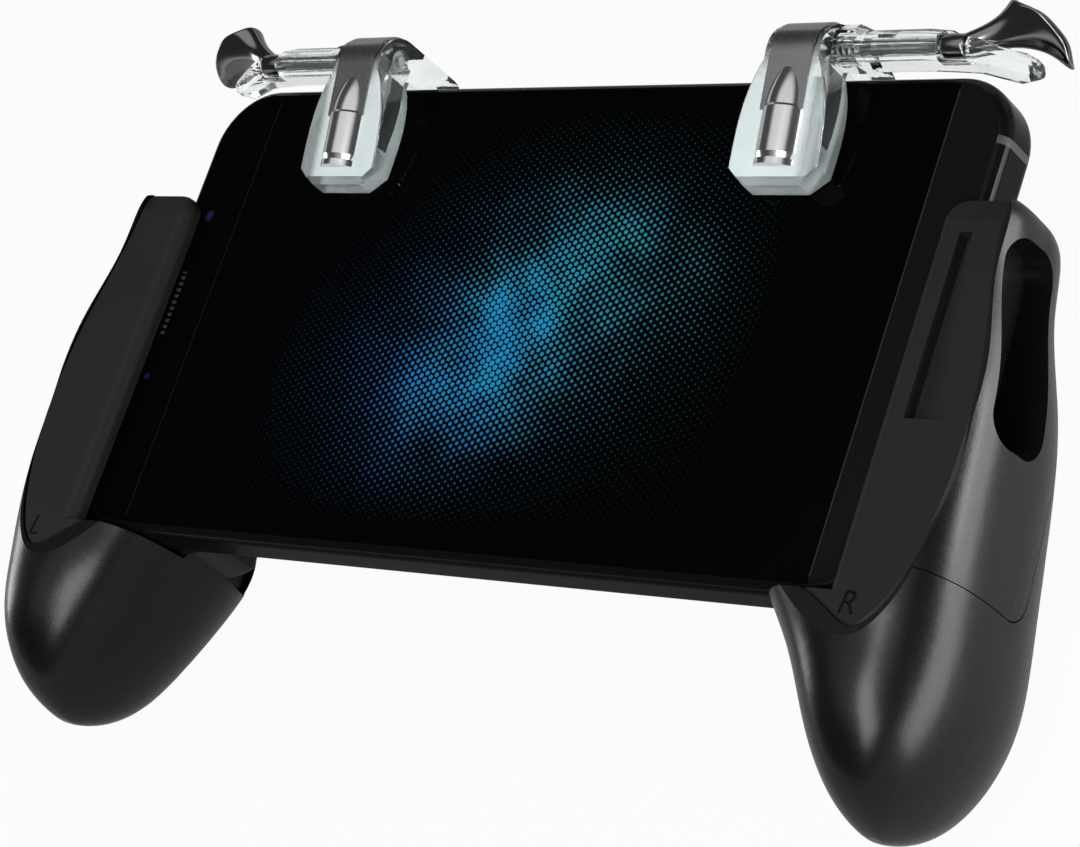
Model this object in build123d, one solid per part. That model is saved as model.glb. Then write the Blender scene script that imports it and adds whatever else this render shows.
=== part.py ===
from build123d import *
import os
from math import cos, pi, radians, sin, sqrt, tan

# A stretching game grip that holds a phone on its side, with two clip-on triggers.
# Lengths are in millimetres. Every piece is drawn about the middle of the phone's
# front glass: x along the phone, y up its picture, z out of the glass. The right
# side is drawn and the left one is its mirror. At the end the whole part is moved
# so that it lies on its back on z = 0.

# Place of the glass centre in the finished frame
GLASS_HEIGHT = 31.64
GLASS_OFFSET_Y = 8.1

# Phone
PHONE_LENGTH = 145.4
PHONE_WIDTH = 75.5
PHONE_THICKNESS = 7.7
PHONE_CORNER = 10.0
FRAME_ROUND = 1.9
GLASS_MARGIN = 1.4
GLASS_DEPTH = 0.8
DISPLAY_DEPTH = 0.9
DISPLAY_BROW = 11.4
DISPLAY_CHIN = 9.4
DISPLAY_SIDE = 2.25
BACK_MARGIN = 2.6
BACK_COVER = 0.7
LENS_RADIUS = 4.2
LENS_WALL = 0.9
LENS_RISE = 0.7
LENS_FROM_END = 26.0
LENS_FROM_TOP = 10.5
SPEAKER_LENGTH = 10.9
SPEAKER_WIDTH = 1.0
SPEAKER_FROM_END = 4.7
FRONT_LENS_RADIUS = 1.3
FRONT_LENS_Y = 15.3
GLASS_HOLE_DEPTH = 0.3
KEY_RISE = 0.6
KEY_HEIGHT = 2.4
KEY_SINK = 1.6
KEY_GAP = 0.15
KEY_TRAVEL = 0.3
VOLUME_KEY_X = -8.0
VOLUME_KEY_LENGTH = 20.0
POWER_KEY_LENGTH = 9.0
KEY_SPACING = 6.0

# Phone slot of each grip
SLOT_GAP = 0.3
LINER_THICKNESS = 1.2
LINER_SHORT = 2.9
LINER_REACH = 17.0

# Grip body
GRIP_TOP = 17.5
GRIP_BOTTOM = 63.85
SIDE_DEPTH = 13.3
INNER_REACH = 20.7
FRONT_CROWN = 8.0
GRIP_REAR = 31.5
FACE = 3.6

# Front plate
LIP_OVERLAP = 3.9
PLATE_LIFT = 0.4
PLATE_EDGE_ROUND = 2.2
PLATE_RIM = 0.5
PLATE_CORNER = 3.4
PLATE_WIDTH = 14.0
PLATE_HEEL = 4.0
PLATE_DROP = 4.6
PLATE_BEVEL = 3.6
PLATE_BEVEL_DROP = 1.1
STORAGE_SLIT_LENGTH = 26.4
STORAGE_SLIT_WIDTH = 1.9
STORAGE_SLIT_DEPTH = 2.2
STORAGE_SLIT_X = 0.6
STORAGE_SLIT_TOP = 5.4
STORAGE_RAMP_WIDTH = 4.2
STORAGE_RAMP_DEPTH = 1.1

# Side cover with the trigger store
COVER_WALL = 2.2
COVER_LENGTH = 51.7
COVER_REAR = 16.0
COVER_INNER = 3.8
COVER_CORNER = 4.0
COVER_SEAM = 0.15
STORE_LENGTH = 28.5
STORE_WIDTH = 11.4
STORE_CENTRE_Y = -0.75
STORE_CENTRE_Z = 3.5
STORE_TILT = 4.0
STORE_CORNER = 4.2
STORE_FLOOR = 2.2

# Rear housing and the stretching bridge behind the phone
HOUSING_INNER = 29.2
HOUSING_OUTER = 10.7
HOUSING_TOP = 10.0
HOUSING_BOTTOM = 31.0
TONGUE_INNER = 22.2
TONGUE_BOTTOM = 35.2
TONGUE_DROP = 2.0
HOUSING_ROUND = 2.2
HOUSING_DEPTH = 9.9
BRIDGE_WALL = 1.5
BRIDGE_SIDE = 4.4
BRIDGE_GAP = 0.7
BRIDGE_WIDTH = 28.0
BRIDGE_CENTRE_Y = -12.0
BRIDGE_ROOT = 16.7
BRIDGE_REACH = 28.0
BRIDGE_LID = 1.4
BRIDGE_ROUND = 2.5
ARM_GAP = 0.3
ARM_TAIL = 20.0
ARM_ROOT = 16.7
ROD_RADIUS = 1.25
ROD_CLEARANCE = 0.1
ROD_SPACING = 13.6
ROD_SOCKET = 3.0
ROD_END_GAP = 2.0
SPRING_RADIUS = 2.9
SPRING_WALL = 0.7
SPRING_END_GAP = 0.2
SPRING_POST_RADIUS = 1.4
SPRING_POST_FROM_END = 4.0
STOP_PIN_RADIUS = 1.9
STOP_PIN_X = 22.0
GRIP_TRAVEL = 20.0

# Screws
SCREW_HEAD_RADIUS = 1.9
SCREW_HEAD_HEIGHT = 1.0
SCREW_SHANK_RADIUS = 0.9
SCREW_LENGTH = 5.0
BRIDGE_SCREW_FROM_END = 3.4
BRIDGE_SCREW_FROM_ROOT = 16.0
HOUSING_SCREW_FROM_TOP = 4.4
HOUSING_SCREW_FROM_BOTTOM = 4.2

# Clip-on trigger
CLIP_FROM_END = 32.65
CLIP_WIDTH = 14.7
CLIP_NECK_WIDTH = 9.0
CLIP_NECK_LENGTH = 6.6
CLIP_TOE_WIDTH = 9.5
CLIP_TOE = 2.3
TAB_LENGTH = 18.95
TAB_TOE_HEIGHT = 3.6
TAB_TOE_BEVEL = 0.9
TAB_EDGE_ROUND = 0.4
TAB_SLOPE = 12.0
CLIP_ROOF = 5.4
CLIP_ARC = 5.0
CLIP_BACK_ARC = 3.0
JAW_LENGTH = 7.0
JAW_THICKNESS = 2.6
PAD_THICKNESS = 1.0
PAD_INSET = 1.0

# Metal strip and bullet-shaped inlay on the clip
STRIP_WIDTH = 7.0
STRIP_SINK = 0.5
STRIP_PROUD = 0.3
STRIP_START = 8.4
STRIP_BACK = 4.0
BULLET_WIDTH = 6.4
BULLET_RISE = 1.7
BULLET_SINK = 0.5
BULLET_FROM_TOE = 2.3
BULLET_CASE = 8.2
BULLET_NOSE = 9.4
BULLET_RIM = 0.9
BULLET_GROOVE = 0.35

# Trigger shaft, paddle, rocker and spring
SHAFT_RADIUS = 0.9
SHAFT_CLEARANCE = 0.08
SHAFT_ABOVE_PHONE = 2.55
SHAFT_Z = 2.6
SHAFT_INNER = 3.4
SHAFT_OUTER = 23.8
ARM_INNER = 3.0
ARM_LENGTH = 30.3
ARM_HEIGHT = 4.7
ARM_DEPTH = 6.6
ARM_DROP = 0.9
ARM_BEVEL = 1.7
PADDLE_GAP = 0.5
HUB_RADIUS = 1.7
HUB_LENGTH = 3.4
HUB_START = 20.9
PADDLE_START = 21.6
PADDLE_LENGTH = 12.9
PADDLE_RISE = 3.7
PADDLE_BACK = 2.5
PADDLE_WIDTH = 9.6
PADDLE_HEIGHT = 5.8
PADDLE_DISH = 1.5
PADDLE_RIM = 0.7
LEVER_TURN = 7.0
ROCKER_WIDTH = 2.8
ROCKER_THICKNESS = 1.5
ROCKER_LENGTH = 12.3
ROCKER_UNDER = 2.1
ROCKER_TIP_ROUND = 1.2
ROCKER_HUB_RADIUS = 1.5
ROCKER_HUB_WIDTH = 5.0
ROCKER_GAP = 0.3
FOOT_RADIUS = 1.5
FOOT_HEIGHT = 0.45
WELL_LENGTH = 14.5
WELL_ROOF = 4.15
COIL_RADIUS = 1.35
COIL_WIRE = 0.45
COIL_PITCH = 0.95
COIL_TURNS = 4
COIL_GAP = 0.18

# Tables of shares, each row from the top of the grip to its bottom
GRIP_STATION_SHARES = [0.0, 0.02, 0.05, 0.12, 0.277, 0.436, 0.584, 0.67,
                       0.751, 0.833, 0.884, 0.926, 0.959, 0.982, 0.9945, 1.0]
GRIP_OUTER_SHARES = [0.5, 0.56, 0.59, 0.63, 0.855, 0.94, 0.97, 0.98,
                     0.965, 0.885, 0.78, 0.65, 0.515, 0.37, 0.25, 0.165]
GRIP_INNER_SHARES = [1.0, 1.0, 1.0, 1.0, 1.0, 1.03, 1.03, 0.86,
                     0.65, 0.48, 0.38, 0.283, 0.192, 0.105, 0.035, -0.02]
GRIP_FRONT_SHARES = [0.72, 0.82, 0.86, 0.87, 1.0, 0.9, 0.8, 0.66,
                     0.46, 0.27, 0.05, -0.27, -0.66, -1.09, -1.45, -1.74]
GRIP_REAR_SHARES = [0.49, 0.53, 0.555, 0.595, 0.727, 0.857, 0.959, 0.997,
                    1.0, 0.956, 0.905, 0.838, 0.752, 0.657, 0.575, 0.508]
FRONT_POWERS = [4.4, 4.4, 4.2, 3.8, 3.4, 3.4, 3.2, 2.9,
                2.6, 2.35, 2.25, 2.25, 2.25, 2.25, 2.25, 2.25]
REAR_POWER = 2.25
PLATE_EDGE_SHARES = [(0.0, 0.714), (0.09, 0.729), (0.256, 0.843), (0.406, 0.957), (0.572, 1.0),
                     (0.722, 0.957), (0.872, 0.8), (0.96, 0.614), (1.0, 0.386), (0.981, 0.171),
                     (0.948, -0.057)]
SECTION_STEPS = 20
NOSE_LENGTH_SHARES = [0.0, 0.3, 0.6, 0.85, 1.0]
NOSE_RADIUS_SHARES = [0.94, 0.86, 0.64, 0.36, 0.1]
TAB_EDGE_SHARES = [(0.0, 1.0), (0.3, 0.97), (0.6, 0.78), (0.85, 0.38), (1.0, 0.0)]
ARM_STATION_SHARES = [0.0, 0.13, 0.2, 0.5, 0.74, 0.91, 1.0]
ARM_Y_SHARES = [-0.09, -0.09, 0.0, 0.0, 0.03, 0.2, 0.28]
ARM_Z_SHARES = [0.0, 0.0, 0.0, 0.0, 0.14, 0.5, 0.56]
ARM_SIZE_SHARES = [1.18, 1.18, 1.0, 1.0, 0.95, 0.8, 0.44]
PADDLE_AXIS_SHARES = [0.0, 0.3, 0.6, 0.85, 1.0]
PADDLE_RISE_SHARES = [0.0, 0.48, 0.82, 0.96, 1.0]
PADDLE_SIZE_SHARES = [0.38, 0.43, 0.56, 0.8, 1.0]
PADDLE_TURN_SHARES = [0.0, 0.1, 0.35, 0.8, 1.0]
PADDLE_DISH_SHARES = [0.25, 0.72, 1.0]

# Directions
STEM_DIRECTION = Vector(0.93, 0.33, -0.15)
MOUTH_DIRECTION = Vector(0.69, 0.72, 0.04)
RIM_DIRECTION = Vector(0.61, -0.54, -0.58)

# Places that follow from the sizes
PHONE_END = PHONE_LENGTH / 2
PHONE_TOP = PHONE_WIDTH / 2
PHONE_BACK = -PHONE_THICKNESS
SLOT_END = PHONE_END + SLOT_GAP + LINER_THICKNESS
SLOT_BACK = PHONE_BACK - SLOT_GAP - LINER_THICKNESS
LEDGE = -PHONE_TOP - SLOT_GAP
GRIP_LENGTH = GRIP_TOP + GRIP_BOTTOM
LIP_EDGE = PHONE_END - LIP_OVERLAP
PLATE_BOTTOM = LEDGE - PLATE_DROP
HOUSING_EDGE = PHONE_END - HOUSING_INNER
BRIDGE_FRONT = PHONE_BACK - BRIDGE_GAP
HOUSING_REAR = SLOT_BACK - HOUSING_DEPTH
BRIDGE_LEFT = -PHONE_END + BRIDGE_ROOT
ARM_BACK = BRIDGE_FRONT - BRIDGE_WALL - ARM_GAP
ARM_REAR = HOUSING_REAR + BRIDGE_LID + ARM_GAP
ROD_Z = (ARM_BACK + ARM_REAR) / 2
BRIDGE_LOW = BRIDGE_CENTRE_Y - BRIDGE_WIDTH / 2
BRIDGE_HIGH = BRIDGE_CENTRE_Y + BRIDGE_WIDTH / 2
POST_X = BRIDGE_LEFT + ROD_SOCKET + SPRING_POST_FROM_END
CLIP_CENTRE_X = PHONE_END - CLIP_FROM_END
CLIP_INNER_TOP = PHONE_TOP + SLOT_GAP
CLIP_TOP = CLIP_INNER_TOP + CLIP_ROOF
JAW_FRONT = PHONE_BACK - SLOT_GAP - PAD_THICKNESS
JAW_REAR = JAW_FRONT - JAW_THICKNESS
TAB_TOE = CLIP_INNER_TOP - TAB_LENGTH
TAB_TOP = SLOT_GAP + TAB_TOE_HEIGHT
ARC_Y = CLIP_TOP - CLIP_ARC
ARC_Z = (TAB_TOP + (ARC_Y - TAB_TOE - TAB_TOE_BEVEL) * tan(radians(TAB_SLOPE))
         - CLIP_ARC / cos(radians(TAB_SLOPE)))
SHAFT_Y = PHONE_TOP + SHAFT_ABOVE_PHONE
ARM_CENTRE_Y = CLIP_INNER_TOP + ARM_HEIGHT / 2
HUB_WELL_RADIUS = ROCKER_HUB_RADIUS + ROCKER_GAP
WELL_WIDTH = ROCKER_HUB_WIDTH + 2 * ROCKER_GAP
COIL_OUTER = COIL_RADIUS + COIL_WIRE / 2
COIL_LENGTH = COIL_TURNS * COIL_PITCH + COIL_WIRE
COIL_START = CLIP_CENTRE_X + WELL_WIDTH / 2 + COIL_GAP
BULLET_RADIUS = (BULLET_WIDTH ** 2 / 4 + BULLET_RISE ** 2) / (2 * BULLET_RISE)
FAR = 2 * PHONE_LENGTH


def block(x0, x1, y0, y1, z0, z1):
    """A box between two corners."""
    size = (x1 - x0, y1 - y0, z1 - z0)
    middle = ((x0 + x1) / 2, (y0 + y1) / 2, (z0 + z1) / 2)
    return Pos(*middle) * Box(*size)


def rod_x(x0, x1, y, z, radius):
    """A round bar along x."""
    return Plane((x0, y, z), z_dir=(1, 0, 0)) * Cylinder(
        radius, x1 - x0, align=(Align.CENTER, Align.CENTER, Align.MIN))


def rod_z(x, y, z0, z1, radius):
    """A round bar along z."""
    return Pos(x, y, z0) * Cylinder(
        radius, z1 - z0, align=(Align.CENTER, Align.CENTER, Align.MIN))


def prism(face, z0, z1):
    """A flat outline raised from z0 to z1."""
    return extrude(Pos(0, 0, z0) * face, amount=z1 - z0)


def mirrored(shape):
    """The left-hand copy of a right-hand piece."""
    return mirror(shape, about=Plane.YZ)


# Grip body


def grip_section(y, x_in, x_out, z_front, z_rear, front_power):
    """One closed ring of the grip, squarer in front than behind."""
    half_x = (x_out - x_in) / 2
    half_z = (z_front - z_rear) / 2
    points = []
    for step in range(SECTION_STEPS):
        angle = 2 * pi * step / SECTION_STEPS
        power = front_power if sin(angle) > 0 else REAR_POWER
        across = abs(cos(angle)) ** (2 / power) * (1 if cos(angle) > 0 else -1)
        out = abs(sin(angle)) ** (2 / power) * (1 if sin(angle) > 0 else -1)
        x = (x_in + x_out) / 2 + half_x * across
        z = (z_front + z_rear) / 2 + half_z * out
        points.append((x, y, z))
    return Wire([Spline(*points, periodic=True)])


def grip_form(inset=0):
    """The outer form of a grip from its top to the tip of its handle."""
    rings = []
    for row, share in enumerate(GRIP_STATION_SHARES):
        x_in = PHONE_END - GRIP_INNER_SHARES[row] * INNER_REACH + inset
        x_out = PHONE_END + GRIP_OUTER_SHARES[row] * SIDE_DEPTH - inset
        front = GRIP_FRONT_SHARES[row] * FRONT_CROWN - inset
        rear = -GRIP_REAR_SHARES[row] * GRIP_REAR + inset
        if x_out > x_in and front > rear:
            rings.append(grip_section(GRIP_TOP - share * GRIP_LENGTH, x_in, x_out,
                                      front, rear, FRONT_POWERS[row]))
    form = Solid.make_loft(rings)
    return form - block(0, FAR, -FAR, FAR, FACE - inset, FAR)


def plate_outline():
    """The front plate seen from the front."""
    length = GRIP_TOP - PLATE_BOTTOM
    edge = [(LIP_EDGE + across * PLATE_WIDTH, GRIP_TOP - down * length)
            for down, across in PLATE_EDGE_SHARES]
    heel = (LIP_EDGE - PLATE_HEEL, LEDGE)
    curve = Spline(*edge, heel)
    corner_low = (LIP_EDGE, GRIP_TOP - PLATE_CORNER)
    corner_high = (LIP_EDGE + PLATE_CORNER, GRIP_TOP)
    inner = Polyline(heel, (LIP_EDGE, LEDGE), corner_low)
    corner = RadiusArc(corner_low, corner_high, PLATE_CORNER)
    top = Line(corner_high, edge[0])
    return make_face([*curve.edges(), *inner.edges(), *corner.edges(), *top.edges()])


def phone_slot():
    """The slot that the end of the phone slides into."""
    return block(0, SLOT_END, LEDGE, FAR, SLOT_BACK, FAR)


def side_region(seam):
    """The part of the grip that the side cover takes up, drawn in by a seam."""
    region = block(PHONE_END + COVER_INNER + seam, FAR, GRIP_TOP - COVER_LENGTH + seam, FAR,
                   seam - COVER_REAR, FAR)
    corner = region.edges().filter_by(Axis.X).sort_by(Axis.Z)[0:2].sort_by(Axis.Y)[0]
    return fillet(corner, COVER_CORNER)


def store_pocket():
    """The hollow in the side of the grip that a trigger is stored in."""
    plane = Plane((SLOT_END + STORE_FLOOR, STORE_CENTRE_Y, -STORE_CENTRE_Z),
                  x_dir=(0, 1, 0), z_dir=(1, 0, 0))
    mouth = Rot(0, 0, STORE_TILT) * RectangleRounded(STORE_LENGTH, STORE_WIDTH, STORE_CORNER)
    return extrude(plane * mouth, amount=FAR)


def make_plate(slit):
    """The flat front plate, with its lip over the glass."""
    plate = prism(plate_outline(), PLATE_LIFT, FACE)
    lip = plate.edges().filter_by(Axis.Y).sort_by(Axis.X)[0:2].sort_by(Axis.Z)[-1]
    plate = fillet(lip, PLATE_EDGE_ROUND)
    rim = plate.edges().filter_by(GeomType.BSPLINE).sort_by(Axis.Z)[-1]
    plate = chamfer(rim, PLATE_RIM)
    bevel = Plane.YZ * make_face(Polyline(
        (GRIP_TOP, FACE - PLATE_BEVEL_DROP), (GRIP_TOP, FACE),
        (GRIP_TOP - PLATE_BEVEL, FACE), close=True))
    plate -= extrude(bevel, amount=FAR)
    if slit:
        x = SLOT_END - STORAGE_SLIT_X
        y = GRIP_TOP - STORAGE_SLIT_TOP
        plate -= block(x - STORAGE_SLIT_WIDTH / 2, x + STORAGE_SLIT_WIDTH / 2,
                       y - STORAGE_SLIT_LENGTH, y, FACE - STORAGE_SLIT_DEPTH, FAR)
        edge = x + STORAGE_SLIT_WIDTH / 2
        foot = Plane((0, y - STORAGE_SLIT_LENGTH, 0), x_dir=(1, 0, 0), z_dir=(0, -1, 0))
        ramp = foot * make_face(Polyline(
            (edge, FACE), (edge + STORAGE_RAMP_WIDTH, FACE),
            (edge, FACE - STORAGE_RAMP_DEPTH), close=True))
        plate -= loft([ramp, Vertex(edge, y, FACE)])
    return plate - store_pocket()


def make_grip():
    """The handle shell and side cover of one grip."""
    form = grip_form()
    seat = prism(plate_outline(), PLATE_LIFT, FAR)
    body = form - phone_slot() - seat
    core = grip_form(COVER_WALL)
    shell = body - (side_region(0) - core) - store_pocket() - housing_space()
    cover = (body & side_region(COVER_SEAM)) - core - store_pocket()
    return shell, cover


def make_liner():
    """The rubber liner on the back and the end of the phone slot."""
    outer = block(SLOT_END - LINER_REACH, SLOT_END, LEDGE + LINER_SHORT, GRIP_TOP - LINER_SHORT,
                  SLOT_BACK, 0)
    hollow = block(0, SLOT_END - LINER_THICKNESS, -FAR, FAR, SLOT_BACK + LINER_THICKNESS, FAR)
    return outer - hollow


# Rear housing and bridge


def housing_outline():
    """The rear housing seen from the front, with its tongue below the phone."""
    outer = PHONE_END - HOUSING_OUTER
    inner = PHONE_END - TONGUE_INNER
    low = -TONGUE_BOTTOM
    tongue = ThreePointArc((outer, low), ((outer + inner) / 2, low - TONGUE_DROP), (inner, low))
    sides = Polyline((inner, low), (inner, -HOUSING_BOTTOM), (HOUSING_EDGE, -HOUSING_BOTTOM),
                     (HOUSING_EDGE, HOUSING_TOP), (outer, HOUSING_TOP), (outer, low))
    return make_face([*tongue.edges(), *sides.edges()])


def housing_space():
    """The room that the rear housing takes up."""
    return prism(housing_outline(), HOUSING_REAR - HOUSING_DEPTH, SLOT_BACK)


def make_housing():
    """The block behind the phone that joins a grip to the bridge."""
    housing = prism(housing_outline(), HOUSING_REAR, SLOT_BACK)
    corners = housing.edges().filter_by(Axis.Z).sort_by(Axis.X)[0:2]
    housing = fillet(corners, HOUSING_ROUND)
    rear = housing.faces().sort_by(Axis.Z)[0].outer_wire().edges()
    return fillet(rear, HOUSING_ROUND / 2)


def bridge_space():
    """The room that the sleeve and its lid take up inside the left housing."""
    return block(BRIDGE_LEFT, BRIDGE_REACH, BRIDGE_LOW, BRIDGE_HIGH, HOUSING_REAR, BRIDGE_FRONT)


def make_sleeve():
    """The flat sleeve of the left grip that the arm slides in."""
    rear = HOUSING_REAR + BRIDGE_LID
    front = BRIDGE_FRONT - BRIDGE_WALL
    sleeve = block(BRIDGE_LEFT, BRIDGE_REACH, BRIDGE_LOW, BRIDGE_HIGH, rear, BRIDGE_FRONT)
    corners = sleeve.edges().filter_by(Axis.Z).sort_by(Axis.X)[2:4]
    sleeve = fillet(corners, BRIDGE_ROUND)
    sleeve -= block(BRIDGE_LEFT + ROD_SOCKET, FAR, BRIDGE_LOW + BRIDGE_SIDE,
                    BRIDGE_HIGH - BRIDGE_SIDE, rear, front)
    sleeve += rod_z(POST_X, BRIDGE_CENTRE_Y, rear, front, SPRING_POST_RADIUS)
    sleeve += rod_z(STOP_PIN_X, BRIDGE_CENTRE_Y, rear, front, STOP_PIN_RADIUS)
    return sleeve


def make_lid():
    """The flat lid that closes the back of the sleeve."""
    lid = block(BRIDGE_LEFT, BRIDGE_REACH, BRIDGE_LOW, BRIDGE_HIGH,
                HOUSING_REAR, HOUSING_REAR + BRIDGE_LID)
    corners = lid.edges().filter_by(Axis.Z).sort_by(Axis.X)[2:4]
    return fillet(corners, BRIDGE_ROUND)


def make_arm():
    """The sliding arm of the right grip, with its rod bores and stop slot."""
    inner = BRIDGE_SIDE + ARM_GAP
    arm = block(-ARM_TAIL, PHONE_END - ARM_ROOT, BRIDGE_LOW + inner, BRIDGE_HIGH - inner,
                ARM_REAR, ARM_BACK)
    for side in (-1, 1):
        y = BRIDGE_CENTRE_Y + side * ROD_SPACING / 2
        arm -= rod_x(-ARM_TAIL, BRIDGE_REACH + ROD_END_GAP, y, ROD_Z, ROD_RADIUS + ROD_CLEARANCE)
    half = STOP_PIN_RADIUS + ARM_GAP
    arm -= block(STOP_PIN_X - half - GRIP_TRAVEL, STOP_PIN_X + half,
                 BRIDGE_CENTRE_Y - half, BRIDGE_CENTRE_Y + half, -FAR, FAR)
    return arm


def make_rods():
    """The two steel rods that guide the arm."""
    return [rod_x(BRIDGE_LEFT, BRIDGE_REACH - ROD_END_GAP,
                  BRIDGE_CENTRE_Y + side * ROD_SPACING / 2, ROD_Z, ROD_RADIUS)
            for side in (-1, 1)]


def make_tension_spring():
    """The closely wound spring that pulls the grips together, as its outer tube."""
    start = POST_X + SPRING_POST_RADIUS + SPRING_END_GAP
    end = -ARM_TAIL - SPRING_END_GAP
    tube = rod_x(start, end, BRIDGE_CENTRE_Y, ROD_Z, SPRING_RADIUS)
    return tube - rod_x(start, end, BRIDGE_CENTRE_Y, ROD_Z, SPRING_RADIUS - SPRING_WALL)


def make_screw(x, y):
    """A screw that goes into the back of the bridge or a housing."""
    head = rod_z(x, y, HOUSING_REAR, HOUSING_REAR + SCREW_HEAD_HEIGHT, SCREW_HEAD_RADIUS)
    return head + rod_z(x, y, HOUSING_REAR, HOUSING_REAR + SCREW_LENGTH, SCREW_SHANK_RADIUS)


def make_bridge_screws():
    """The four screws of the lid, in the side walls of the sleeve."""
    return [make_screw(x, y)
            for x in (BRIDGE_LEFT + BRIDGE_SCREW_FROM_ROOT, BRIDGE_REACH - BRIDGE_SCREW_FROM_END)
            for y in (BRIDGE_LOW + BRIDGE_SIDE / 2, BRIDGE_HIGH - BRIDGE_SIDE / 2)]


def make_housing_screws():
    """The two screws of the right housing."""
    x = PHONE_END - (TONGUE_INNER + HOUSING_OUTER) / 2
    return [make_screw(x, HOUSING_TOP - HOUSING_SCREW_FROM_TOP),
            make_screw(x, HOUSING_SCREW_FROM_BOTTOM - TONGUE_BOTTOM)]


# Phone


def phone_outline(margin):
    """The outline of the phone, drawn in by a margin."""
    return RectangleRounded(PHONE_LENGTH - 2 * margin, PHONE_WIDTH - 2 * margin,
                            PHONE_CORNER - margin)


def key_shape(x, length, gap, depth):
    """A push key in the top edge of the phone, with its ends rounded."""
    plane = Plane((x, PHONE_TOP + KEY_RISE, PHONE_BACK / 2), x_dir=(1, 0, 0), z_dir=(0, -1, 0))
    outline = SlotOverall(length + 2 * gap, KEY_HEIGHT + 2 * gap)
    return extrude(plane * outline, amount=KEY_RISE + depth)


def power_key_x():
    """The middle of the power key along the phone."""
    return VOLUME_KEY_X + VOLUME_KEY_LENGTH / 2 + KEY_SPACING + POWER_KEY_LENGTH / 2


def make_phone_frame():
    """The phone's middle frame, open in front and behind, with its key slots."""
    frame = prism(phone_outline(0), PHONE_BACK, 0)
    rims = frame.faces().filter_by(Axis.Z).edges()
    frame = fillet(rims, FRAME_ROUND)
    frame -= prism(phone_outline(GLASS_MARGIN), -GLASS_DEPTH, FAR)
    frame -= display_shape()
    frame -= prism(phone_outline(BACK_MARGIN), -FAR, PHONE_BACK + BACK_COVER)
    slot_depth = KEY_SINK + KEY_TRAVEL + KEY_GAP
    frame -= key_shape(VOLUME_KEY_X, VOLUME_KEY_LENGTH, KEY_GAP, slot_depth)
    frame -= key_shape(power_key_x(), POWER_KEY_LENGTH, KEY_GAP, slot_depth)
    return frame


def display_shape():
    """The display panel behind the glass."""
    half = PHONE_TOP - DISPLAY_SIDE
    return block(DISPLAY_BROW - PHONE_END, PHONE_END - DISPLAY_CHIN, -half, half,
                 -GLASS_DEPTH - DISPLAY_DEPTH, -GLASS_DEPTH)


def make_front_glass():
    """The front glass, with the ear slot and the front camera's recess."""
    glass = prism(phone_outline(GLASS_MARGIN), -GLASS_DEPTH, 0)
    x = -PHONE_END + SPEAKER_FROM_END
    slot = Pos(x, 0, 0) * (Rot(0, 0, 90) * SlotOverall(SPEAKER_LENGTH, SPEAKER_WIDTH))
    glass -= prism(slot, -GLASS_HOLE_DEPTH, FAR)
    glass -= rod_z(x, FRONT_LENS_Y, -GLASS_HOLE_DEPTH, FAR, FRONT_LENS_RADIUS)
    return glass


def make_back_cover():
    """The back of the phone, with the seat of the rear camera."""
    cover = prism(phone_outline(BACK_MARGIN), PHONE_BACK, PHONE_BACK + BACK_COVER)
    x, y = rear_lens_place()
    return cover - rod_z(x, y, -FAR, 0, LENS_RADIUS)


def rear_lens_place():
    """The middle of the rear camera."""
    return -PHONE_END + LENS_FROM_END, PHONE_TOP - LENS_FROM_TOP


def make_rear_lens():
    """The rear camera: a raised ring round its sunk lens."""
    x, y = rear_lens_place()
    ring = rod_z(x, y, PHONE_BACK - LENS_RISE, PHONE_BACK + BACK_COVER, LENS_RADIUS)
    return ring - rod_z(x, y, PHONE_BACK - LENS_RISE, PHONE_BACK, LENS_RADIUS - LENS_WALL)


# Clip-on trigger


def clip_arc(radius):
    """The round top of the clip, from its sloping face to its back wall."""
    start = radians(90 + TAB_SLOPE)
    middle = start / 2
    return ThreePointArc((ARC_Y + radius * cos(start), ARC_Z + radius * sin(start)),
                         (ARC_Y + radius * cos(middle), ARC_Z + radius * sin(middle)),
                         (ARC_Y + radius, ARC_Z))


def slope_point(along, lift):
    """A point over the sloping face, measured from its top end down towards the toe."""
    turn = radians(90 + TAB_SLOPE)
    radius = CLIP_ARC + lift
    return (ARC_Y + radius * cos(turn) - along * cos(radians(TAB_SLOPE)),
            ARC_Z + radius * sin(turn) - along * sin(radians(TAB_SLOPE)))


def clip_side():
    """The clip seen from its side: sloping tab, round top, back wall and jaw."""
    arc = clip_arc(CLIP_ARC)
    rest = Polyline(
        (CLIP_TOP, ARC_Z), (CLIP_TOP, JAW_REAR), (CLIP_INNER_TOP - JAW_LENGTH, JAW_REAR),
        (CLIP_INNER_TOP - JAW_LENGTH, JAW_FRONT), (CLIP_INNER_TOP, JAW_FRONT),
        (CLIP_INNER_TOP, SLOT_GAP), (TAB_TOE, SLOT_GAP), (TAB_TOE, TAB_TOP - TAB_TOE_BEVEL),
        (TAB_TOE + TAB_TOE_BEVEL, TAB_TOP), slope_point(0, 0))
    return Plane.YZ * make_face([*arc.edges(), *rest.edges()])


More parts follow.
